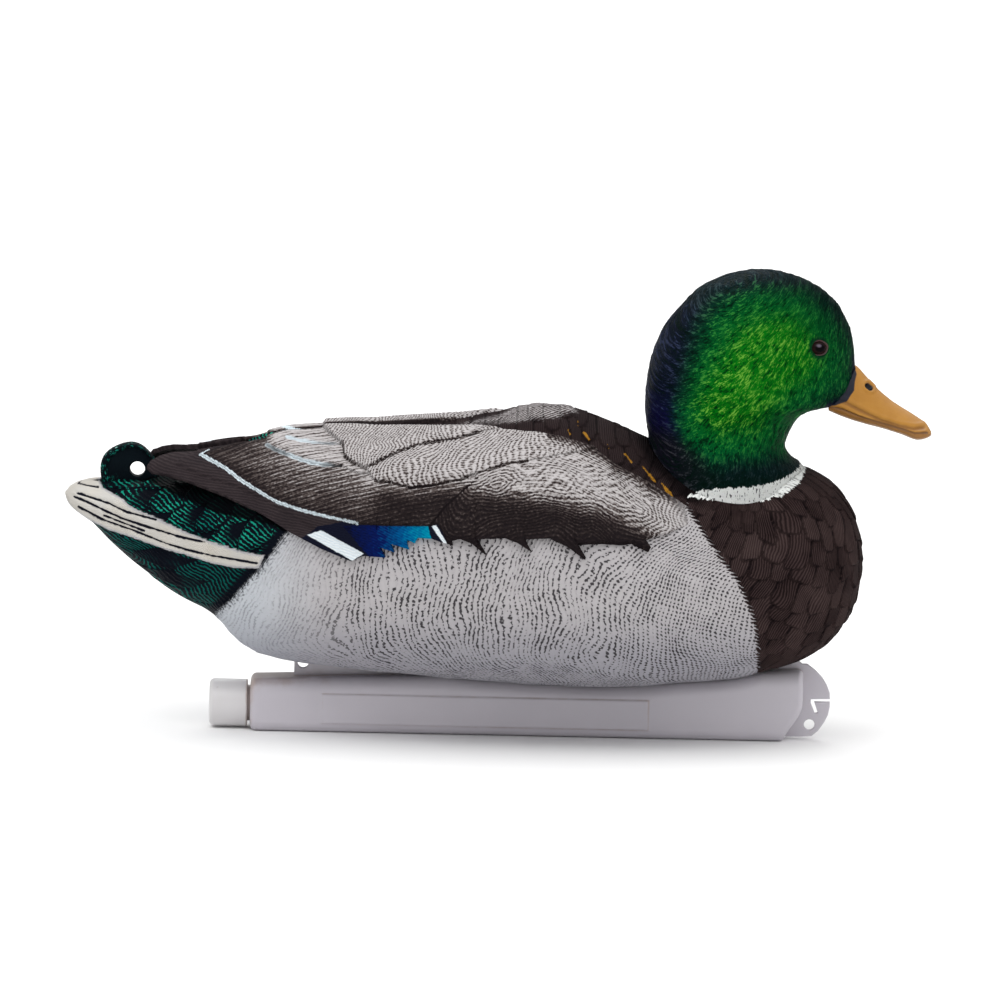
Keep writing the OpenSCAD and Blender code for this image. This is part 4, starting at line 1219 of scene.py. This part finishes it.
def bill_skin():
    """Points and paint values of the bill with nostrils, groove, mouth line and nail."""
    tip = TIP_X + TIP_L * np.sin(np.linspace(0, math.pi / 2 * 0.995, 44))[1:]
    bx = np.concatenate([np.linspace(BILL_X0, TIP_X, 110), tip])[:, None]
    turn = -np.linspace(0, TAU, BN, endpoint=False)
    k = closing((bx - TIP_X) / TIP_L, 2.2)
    top, low = curve(CULMEN, bx), curve(JAW, bx)
    middle = low + (top - low) * 0.3
    up = np.sin(turn)[None] >= 0
    n = 2 / np.where(up, 1.7, 2.6)
    half_h = np.where(up, top - middle, middle - low) * k
    base = np.stack([bx + 0 * turn, curve(BILL_PLAN, bx) * k * power(np.cos(turn), n),
                     middle + half_h * power(np.sin(turn), n)], -1)
    x, y, z = base[..., 0], base[..., 1], base[..., 2]
    base_n = grid_normals(base, np.stack([np.maximum(x - 185, 0), y, z - middle], -1))
    q = sight_height(base)
    nostril, groove, mouth = [nearest([path], x, q) for path in (NOSTRIL, GROOVE, MOUTH)]
    nail = bell(x - 196, 3.5) * bell(y, 5.0) * ramp(-1, 1, z - middle)
    h = (-2.0 * bell(nostril, 1.15, 4) + 0.6 * bell(nostril - 2.1, 0.7)
         - 0.55 * bell(groove, 0.75) + 0.35 * bell(groove - 1.9, 0.9)
         - 0.45 * bell(mouth, 0.5) + 0.5 * nail + 0.08 * value_noise(x / 4, q / 3, 41))
    h = h * ramp(152, 156, x) * (0.4 + 0.6 * ramp(0, 4, 200 - x))
    bill = base + base_n * h[..., None]
    closed = np.repeat(bill[-1].mean(0)[None], BN, 0)[None] + np.array([0.05, 0, 0])
    attrs = dict(root_d=polygon_distance(BILL_ROOT, x, q), groove=groove, nostril=nostril, mouth=mouth,
                 lowz=q - line(MOUTH, x))
    attrs = {key: np.concatenate([v, v[-1:]], 0) for key, v in attrs.items()}
    return np.concatenate([bill, closed], 0), attrs


def bill_material():
    s = Shader("bill paint")
    co = s.coords()
    n_big, n_mid, n_fine = s.noise(co, 60, 3), s.noise(co, 220, 3), s.noise(co, 1100, 2)
    base_c = s.colour((0.41, 0.190, 0.026), (0.33, 0.142, 0.018), (n_big * 1.6 + 0.5).clamped())
    base_c = s.colour(base_c, (0.47, 0.240, 0.045), (n_mid * 2 + 0.2).clamped() * 0.4)
    gd, nd, md = s.attr("groove"), s.attr("nostril"), s.attr("mouth")
    col = s.colour(base_c, (0.20, 0.085, 0.018), (gd + n_mid * 0.8).step(1.3, 0.2) * 0.75)
    col = s.colour(col, (0.10, 0.04, 0.012), (md + n_mid * 0.5).step(0.9, 0.15) * 0.85)
    col = s.colour(col, (0.006, 0.006, 0.010), (nd + n_mid * 0.2).step(1.5, 1.15))
    under = (s.attr("lowz") + n_mid * 0.6).step(0.25, -0.8)
    col = s.colour(col, (0.17, 0.075, 0.025), under * 0.6)
    root = (s.attr("root_d") + n_mid * 1.6).step(-0.3, 0.3)
    col = s.colour(col, (0.005, 0.006, 0.016), root)
    nrm = s.bump(n_mid * 0.5 + n_fine * 0.3, 0.0005, 0.5)
    return s.done(col, (0.42 + n_mid * 0.25).clamped(), nrm, spec=0.28)


o = mesh_from_grid("bill_shell", *bill_skin(), close_v=True)
piece(o, "head", "bill_plastic", bill_material(), "bill")

# ---------------------------------------------------------------- eyes


def eye_material():
    s = Shader("eye gloss")
    co = s.coords()
    n = s.noise(co, 900, 3)
    r = s.attr("eye_r")
    iris = s.colour((0.016, 0.007, 0.006), (0.009, 0.005, 0.005), (n * 3 + 0.5).clamped())
    col = s.colour((0.003, 0.0025, 0.003), iris, r.step(0.50, 0.66))
    col = s.colour(col, (0.003, 0.0025, 0.003), r.step(0.86, 0.95))
    col = s.colour(col, (0.115, 0.098, 0.125), (s.attr("glint") + n * 0.3).step(0.25, 0.95) * 0.85)
    return s.done(col, (0.22 + n * 0.05).clamped(), s.bump(n, 0.0001, 0.1), spec=0.09)


def lid_material():
    s = Shader("eyelid paint")
    n = s.noise(s.coords(), 700, 3)
    col = s.colour((0.018, 0.006, 0.006), (0.060, 0.016, 0.013), (n * 2.5 + 0.5).clamped())
    return s.done(col, (0.38 + n * 0.3).clamped(), s.bump(n, 0.0003, 0.6))


def build_eyes():
    """A glossy dome and a lid ring on each side, a little wider than tall."""
    gloss, lid_paint = eye_material(), lid_material()
    ph = np.linspace(0, TAU, 72, endpoint=False)[None]
    for side, tag in SIDES:
        azimuth = math.radians(66) * side
        out = np.array([math.cos(azimuth), math.sin(azimuth), 0.10])
        out /= np.linalg.norm(out)
        wide = np.cross([0, 0, 1.0], out)
        wide /= np.linalg.norm(wide)
        tall = np.cross(out, wide) * EYE_TALL
        wide = wide * EYE_WIDE
        centre = np.array([EYE_X, side * EYE_Y, EYE_Z]) + out * (2.2 - EYE_R)
        th = np.linspace(0.002, 1.35, 40)[:, None]
        u, v = np.sin(th) * np.cos(ph), np.sin(th) * np.sin(ph)
        dome = centre + EYE_R * (np.cos(th)[..., None] * out + u[..., None] * wide + v[..., None] * tall)
        glint = bell(u - 0.16 * side, 0.36) * bell(v - 0.34, 0.30)
        values = dict(eye_r=np.sin(th) + 0 * ph, glint=glint)
        o = mesh_from_grid(f"eye_{tag}_glass", dome, values, close_v=True)
        piece(o, "head", "eye_gloss", gloss, f"eye_{tag}")
        round_tube, tube_r = np.linspace(0, TAU, 20, endpoint=False)[None], 0.46
        reach = 3.7 + 0.08 * np.sin(5 * ph.T) + tube_r * np.cos(round_tube)
        lid = (centre + out * 1.15 + (reach * np.cos(ph.T))[..., None] * wide
               + (reach * np.sin(ph.T))[..., None] * tall
               + (tube_r * np.sin(round_tube) + 0 * reach)[..., None] * out)
        o = mesh_from_grid(f"eyelid_{tag}", np.concatenate([lid, lid[:1]], 0), close_v=True)
        piece(o, "head", "head_paint", lid_paint, "head_shell")


build_eyes()

# ---------------------------------------------------------------- keel


def keel_top(x):
    """Height of the sloping top of the keel, just inside the belly."""
    slope = KEEL_H0 + (KEEL_H1 - KEEL_H0) * (x - KEEL_X0) / (KEEL_X1 - KEEL_X0)
    return np.minimum(slope, curve(BELLY, x) - 0.4)


def rounded_section(half_w, z0, z1, r_low, r_top, count):
    """Outline points of a section with rounded corners, evenly spaced, starting at the bottom middle."""
    pts = [(0, z0)]
    for cy, cz, r, a0 in ((half_w - r_low, z0 + r_low, r_low, -90), (half_w - r_top, z1 - r_top, r_top, 0)):
        for a in range(0, 91, 9):
            q = math.radians(a0 + a)
            pts.append((cy + r * math.cos(q), cz + r * math.sin(q)))
    pts.append((0, z1))
    pts += [(-y, z) for y, z in pts[-2:0:-1]]
    pts.append(pts[0])
    p = np.array(pts)
    s = np.concatenate([[0], np.cumsum(np.hypot(*np.diff(p, axis=0).T))])
    q = np.linspace(0, s[-1], count + 1)[:-1]
    return np.stack([np.interp(q, s, p[:, 0]), np.interp(q, s, p[:, 1])], -1)


END_R = 2.6  # rounding of the two ends
NOSE_L, NOSE_H = 9.6, 14  # the underside rises towards the front end
KN = 240  # points round the keel
KEEL_PANEL = [(-79, 4.3), (72, 4.3), (72, 18.3), (-79, 18.3)]


def keel_skin():
    """Points of the keel with its raised side panels, and the values for the brown darkening in its corners,
    dirt and painted shade.
    """
    rounding = END_R * (1 - np.cos(np.linspace(0, math.pi / 2, 12)))
    middle = np.linspace(KEEL_X0 + END_R, KEEL_X1 - END_R, 300)
    stations = np.unique(np.round(np.concatenate([KEEL_X0 + rounding, middle, KEEL_X1 - rounding]), 4))
    keel = np.zeros((len(stations), KN, 3))
    for i, x in enumerate(stations):
        into_end = max(0, END_R - (x - KEEL_X0), END_R - (KEEL_X1 - x))
        inset = END_R - math.sqrt(max(0, END_R**2 - into_end**2))
        z_low = max(0.0, (x - (KEEL_X1 - NOSE_L)) * NOSE_H / NOSE_L)
        if x < KEEL_X1 - 7:
            z_low = z_low * float(ramp(KEEL_X1 - 11, KEEL_X1 - 7, x))
        z0, z1 = z_low + inset, float(keel_top(x)) - inset
        r_low, r_top = min(5, (z1 - z0) / 3), min(6.5, (z1 - z0) / 2.2)
        keel[i, :, 1:] = rounded_section(KEEL_W / 2 - inset, z0, z1, r_low, r_top, KN)
        keel[i, :, 0] = x
    normals = grid_normals(keel, np.stack([0 * keel[..., 0], keel[..., 1], keel[..., 2] - 15], -1))
    x, z, side_on = keel[..., 0], keel[..., 2], np.abs(normals[..., 1])
    panel = polygon_distance(KEEL_PANEL, x, z)
    h = 0.65 * ramp(-0.35, 0.55, panel) * (side_on > 0.7)
    h = h - 0.175 * value_noise(x / 60, z / 20, 51) * (side_on > 0.5)
    h = h * ramp(2, 8, x - KEEL_X0) * ramp(2, 8, KEEL_X1 - x)
    keel = keel + normals * h[..., None]
    x, y, z = keel[..., 0], keel[..., 1], keel[..., 2]
    # brown darkening in the corners under the belly, round the panels, at the web and at the back end: dirt
    # and painted shade
    corner = bell(z - keel_top(x), 5.0) * bell(x - KEEL_X0 - 8, 40)
    web_foot = bell(np.abs(y) - 1.6, 3.0) * (z > 15)
    dirt_and_shade = np.clip(0.75 * bell(panel, 0.5) + 0.9 * corner + web_foot + 0.6 * bell(x - KEEL_X0, 2.0), 0, 1.4)
    back, front = [np.repeat(end.mean(0)[None, None], KN, 1) for end in (keel[0], keel[-1])]
    values = dict(dirt_and_shade=np.concatenate([dirt_and_shade[:1] + 0.3, dirt_and_shade, dirt_and_shade[-1:]], 0))
    return np.concatenate([back, keel, front], 0), values


def plastic_material(name, base_col, shade, dirt_and_shade_level=1.0, rough=0.38):
    s = Shader(name)
    co = s.coords()
    n_big, n_mid, n_fine = s.noise(co, 22, 3), s.noise(co, 160, 3), s.noise(co, 1400, 2)
    col = s.colour(base_col, shade, (n_big * 1.3 + 0.4).clamped())
    speck = s.cells(co, 75).step(0.055, 0.03) * (n_mid + 0.1).clamped() * 2
    col = s.colour(col, (0.20, 0.12, 0.08), speck.clamped() * 0.5)
    # browner where the value is high: dirt and painted shade in corners and joints
    dirt_and_shade = (s.attr("dirt_and_shade") + n_mid * 0.9 + n_big * 0.6).step(0.35, 1.25) * dirt_and_shade_level
    col = s.colour(col, (0.33, 0.21, 0.14), dirt_and_shade * 0.55)
    nrm = s.bump(n_mid * 0.4 + n_fine * 0.12, 0.0004, 0.35)
    nrm = s.bump(n_big, 0.0015, 0.2, nrm)
    return s.done(col, (rough + n_mid * 0.18).clamped(), nrm, spec=0.5)


KEEL_MAT = plastic_material("keel plastic", (0.565, 0.535, 0.58), (0.49, 0.465, 0.51))
o = mesh_from_grid("keel_body", *keel_skin(), close_v=True)
piece(o, "duck", "keel_plastic", KEEL_MAT, "keel_shell")


def plate(name, outline, holes, thickness, dirt_and_shade_value):
    """Flat plate in the XZ plane from a closed outline with round holes, edges softened."""
    curve_data = bpy.data.curves.new(name, "CURVE")
    curve_data.dimensions = "2D"
    curve_data.fill_mode = "BOTH"
    loops = [outline] + [[(cx + r * math.cos(a), cz + r * math.sin(a)) for a in np.linspace(0, TAU, 40)[:-1]]
                         for cx, cz, r in holes]
    for pts in loops:
        sp = curve_data.splines.new("POLY")
        sp.points.add(len(pts) - 1)
        for p, (px, pz) in zip(sp.points, pts):
            p.co = (px * MM, pz * MM, 0, 1)
        sp.use_cyclic_u = True
    curve_data.extrude = (thickness / 2 - 0.4) * MM
    curve_data.bevel_depth = 0.4 * MM
    curve_data.bevel_resolution = 3
    curve_data.offset = -0.4 * MM
    tmp = bpy.data.objects.new(name + "_c", curve_data)
    bpy.context.scene.collection.objects.link(tmp)
    bpy.context.view_layer.update()
    dg = bpy.context.evaluated_depsgraph_get()
    me = bpy.data.meshes.new_from_object(tmp.evaluated_get(dg))
    bpy.data.objects.remove(tmp)
    co = np.zeros(len(me.vertices) * 3, np.float32)
    me.vertices.foreach_get("co", co)
    co = co.reshape(-1, 3)
    co = np.stack([co[:, 0], -co[:, 2], co[:, 1]], -1)
    me.vertices.foreach_set("co", co.ravel())
    a = me.attributes.new("dirt_and_shade", "FLOAT", "POINT")
    a.data.foreach_set("value", np.full(len(me.vertices), dirt_and_shade_value, np.float32))
    me.update()
    me.name = name
    o = bpy.data.objects.new(name, me)
    bpy.context.scene.collection.objects.link(o)
    return o


WEB_X0, WEB_X1, WEB_Z, PLATE_T = -92.3, 3.4, 21, 3.2
WEB_HOLE, TIE_HOLE = (-88.2, 30.9, 2.6), (146.8, 6.6, 2.5)
TIE_PLATE = [(132, 0.9), (142, 0.9), (147.9, 1.3), (150.8, 3.6), (153.8, 8), (155.4, 11.4), (156.1, 15.1),
             (156.1, 17.3), (148.9, 17.3), (150.6, 12.3), (149.2, 11.9), (147.3, 16.7), (147.3, 18.5),
             (156.1, 18.7), (156, 21.6), (154.6, 25.2), (152.6, 28.5), (149.2, 32), (145.3, 34.9),
             (143, 34.9), (140.2, 37.1), (137.5, 34.7), (132, 34.2)]
web_top = [(x, float(curve(BELLY, x)) + 3) for x in np.linspace(WEB_X1, WEB_X0, 30)]
web = [(WEB_X0, WEB_Z), (WEB_X1, WEB_Z)] + web_top
# the last value of each plate: its brown darkening, dirt and painted shade, more on the web under the belly
PLATES = (("keel_web", web, WEB_HOLE, 0.45), ("anchor_line_plate", TIE_PLATE, TIE_HOLE, 0.1))
for name, outline, hole, dirt_and_shade_level in PLATES:
    piece(plate(name, outline, [hole], PLATE_T, dirt_and_shade_level), "duck", "keel_plastic", KEEL_MAT, "keel_shell")


NECK_L, NECK_N, THREAD_R, BORE_R, PITCH = 15.4, 144, 8.3, 6.5, 3.5


def filling_neck():
    """Points of the threaded neck that the cap closes, with its bore."""
    turn = np.linspace(0, TAU, NECK_N, endpoint=False)[None]
    v = np.linspace(0, NECK_L, 160)[:, None]
    phase = np.mod(turn / TAU + v / PITCH, 1.0)
    thread = bell(phase - 0.5, 0.16) * ramp(1.2, 3.0, v) * (1 - ramp(12.6, 14.2, v))
    r = THREAD_R + 0.5 * thread
    x = KEEL_X0 + 0.6 - v
    r = np.concatenate([r, np.full((2, NECK_N), BORE_R)], 0)
    x = np.concatenate([x, [[KEEL_X0 - 14.8], [KEEL_X0 - 2.0]]], 0)
    return np.stack([x + 0 * turn, r * np.cos(turn), CAP_Z + r * np.sin(turn)], -1)


neck = filling_neck()
# the whole filling neck darkened brown, dirt and painted shade inside the cap
o = mesh_from_grid("filling_neck", neck, dict(dirt_and_shade=np.full(neck.shape[:2], 1.2)), close_v=True)
piece(o, "duck", "keel_plastic", KEEL_MAT, "keel_shell")

# ---------------------------------------------------------------- cap

CAP_BACK = KEEL_X0 - 1.4  # mouth of the cap
CAP_EDGE = 2.4  # rounding of its closed end


def cap_profile():
    """(distance from the mouth, radius) from the inside round the mouth to the middle of the closed end."""
    inside = [(14.9, 0.01), (14.9, 9.05), (8, 9.1), (0.35, 9.15)]
    mouth = [(0.0, 9.4), (0.0, CAP_R - 0.45), (0.12, CAP_R - 0.12), (0.45, CAP_R)]
    wall = [(v, CAP_R - 0.03 * math.sin(v * 0.2)) for v in np.linspace(1.2, 14.8, 30)]
    edge = [(CAP_L + CAP_EDGE * (math.sin(a) - 1), CAP_R + CAP_EDGE * (math.cos(a) - 1))
            for a in np.linspace(0, math.pi / 2, 14)]
    end = [(CAP_L + 0.02, 7.0), (CAP_L - 0.05, 4.0), (CAP_L - 0.12, 1.2), (CAP_L - 0.3, 0.8),
           (CAP_L - 0.3, 0.01)]
    return np.array(inside + mouth + wall + edge + end)


def build_cap():
    profile = cap_profile()
    x, r = profile[:, :1], profile[:, 1:]
    turn = np.linspace(0, TAU, 144, endpoint=False)[None]
    r = r * (1 + 0.0015 * np.sin(turn * 3 + x * 0.2))  # not quite round
    P = np.stack([CAP_BACK - x + 0 * turn, r * np.cos(turn), CAP_Z + r * np.sin(turn)], -1)
    # brown darkening at the mouth of the cap: dirt and painted shade at the joint
    dirt_and_shade = np.where(x < 0.5, 0.9, 0.25 * np.exp(-x / 2)) + 0 * turn
    material = plastic_material("cap plastic", (0.68, 0.665, 0.67), (0.63, 0.61, 0.62), 0.9)
    o = mesh_from_grid("cap_shell", P, dict(dirt_and_shade=dirt_and_shade), close_v=True)
    piece(o, "cap", "cap_plastic", material, "keel_cap")


build_cap()

# ---------------------------------------------------------------- parts kept from the CAD


def rubber_material(name, a, b, rough, scale):
    s = Shader(name)
    co = s.coords()
    n, f = s.noise(co, scale, 3), s.noise(co, scale * 6, 2)
    col = s.colour(a, b, (n * 1.8 + 0.5).clamped())
    return s.done(col, (rough + n * 0.25).clamped(), s.bump(n + f * 0.4, 0.0005, 0.6))


KEPT = {"cap_seal": rubber_material("seal rubber", (0.035, 0.035, 0.037), (0.07, 0.068, 0.066), 0.62, 500),
        "ballast": rubber_material("ballast sand", (0.42, 0.33, 0.21), (0.62, 0.53, 0.38), 0.85, 1400),
        "keel_clips": rubber_material("clip plastic", (0.07, 0.07, 0.075), (0.11, 0.11, 0.115), 0.5, 260),
        "neck_ring": rubber_material("ring plastic", (0.62, 0.61, 0.57), (0.70, 0.69, 0.66), 0.42, 220)}
for node_name, mat in KEPT.items():
    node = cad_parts[node_name]
    node.data.materials.clear()
    node.data.materials.append(mat)

# ---------------------------------------------------------------- floor, light, camera

DIST, WIDTH, ROLL = 6.0, 0.4624, math.radians(1.2)
AIM = Vector((0.00137, 0.0, 0.1085))
FLOOR_HALF = 160
LIGHTS = (("key", (-0.5, -1.3, 1.9), (0, 0, 0.1), 0.9, 9),
          ("fill", (1.6, -1.6, 0.8), (0, 0, 0.1), 1.0, 3),
          ("back", (0.2, 1.8, 1.5), (0, 0, 0.12), 1.2, 8))


def build_floor():
    mesh = bpy.data.meshes.new("floor")
    corners = [(x * FLOOR_HALF, y * FLOOR_HALF, 0) for x, y in ((-1, -1), (1, -1), (1, 1), (-1, 1))]
    mesh.from_pydata(corners, [], [(0, 1, 2, 3)])
    paint = Shader("floor")
    mesh.materials.append(paint.done((0.92, 0.92, 0.92), 0.9, spec=0.1))
    floor = bpy.data.objects.new("floor", mesh)
    bpy.context.scene.collection.objects.link(floor)
    floor.location.z = -0.0002


def build_world():
    """Soft light, stronger from above; the backdrop itself is plain white."""
    world = bpy.data.worlds.new("studio")
    bpy.context.scene.world = world
    world.use_nodes = True
    tree = world.node_tree
    background = tree.nodes["Background"]
    background.inputs[0].default_value = (1.0, 1.0, 1.0, 1.0)
    direction = tree.nodes.new("ShaderNodeTexCoord")
    split = tree.nodes.new("ShaderNodeSeparateXYZ")
    tree.links.new(direction.outputs["Generated"], split.inputs[0])
    overhead = tree.nodes.new("ShaderNodeMapRange")
    for key, v in (("From Min", 0.0), ("From Max", 1.0), ("To Min", 0.22), ("To Max", 1.75)):
        overhead.inputs[key].default_value = v
    tree.links.new(split.outputs[2], overhead.inputs["Value"])
    ray = tree.nodes.new("ShaderNodeLightPath")
    seen = tree.nodes.new("ShaderNodeMix")
    seen.inputs[3].default_value = 1.0
    tree.links.new(ray.outputs["Is Camera Ray"], seen.inputs[0])
    tree.links.new(overhead.outputs[0], seen.inputs[2])
    tree.links.new(seen.outputs[0], background.inputs[1])


def area_light(name, place, target, size, power):
    lamp = bpy.data.lights.new(name, "AREA")
    lamp.shape, lamp.size, lamp.energy = "SQUARE", size, power
    o = bpy.data.objects.new(name, lamp)
    bpy.context.scene.collection.objects.link(o)
    o.location = place
    o.rotation_euler = (Vector(target) - Vector(place)).to_track_quat("-Z", "Y").to_euler()


def build_camera():
    data = bpy.data.cameras.new("camera")
    data.sensor_width = 36.0
    data.lens = data.sensor_width * DIST / WIDTH
    data.clip_start, data.clip_end = 0.1, 60
    cam = bpy.data.objects.new("camera", data)
    bpy.context.scene.collection.objects.link(cam)
    bpy.context.scene.camera = cam
    cam.location = AIM + Vector((0, -math.cos(SIGHT), math.sin(SIGHT))) * DIST
    cam.rotation_mode = "QUATERNION"
    look = (AIM - cam.location).to_track_quat("-Z", "Y")
    cam.rotation_quaternion = look @ Quaternion((0, 0, 1), ROLL)


build_floor()
build_world()
for light in LIGHTS:
    area_light(*light)
build_camera()
bpy.context.scene.view_settings.view_transform = "Standard"
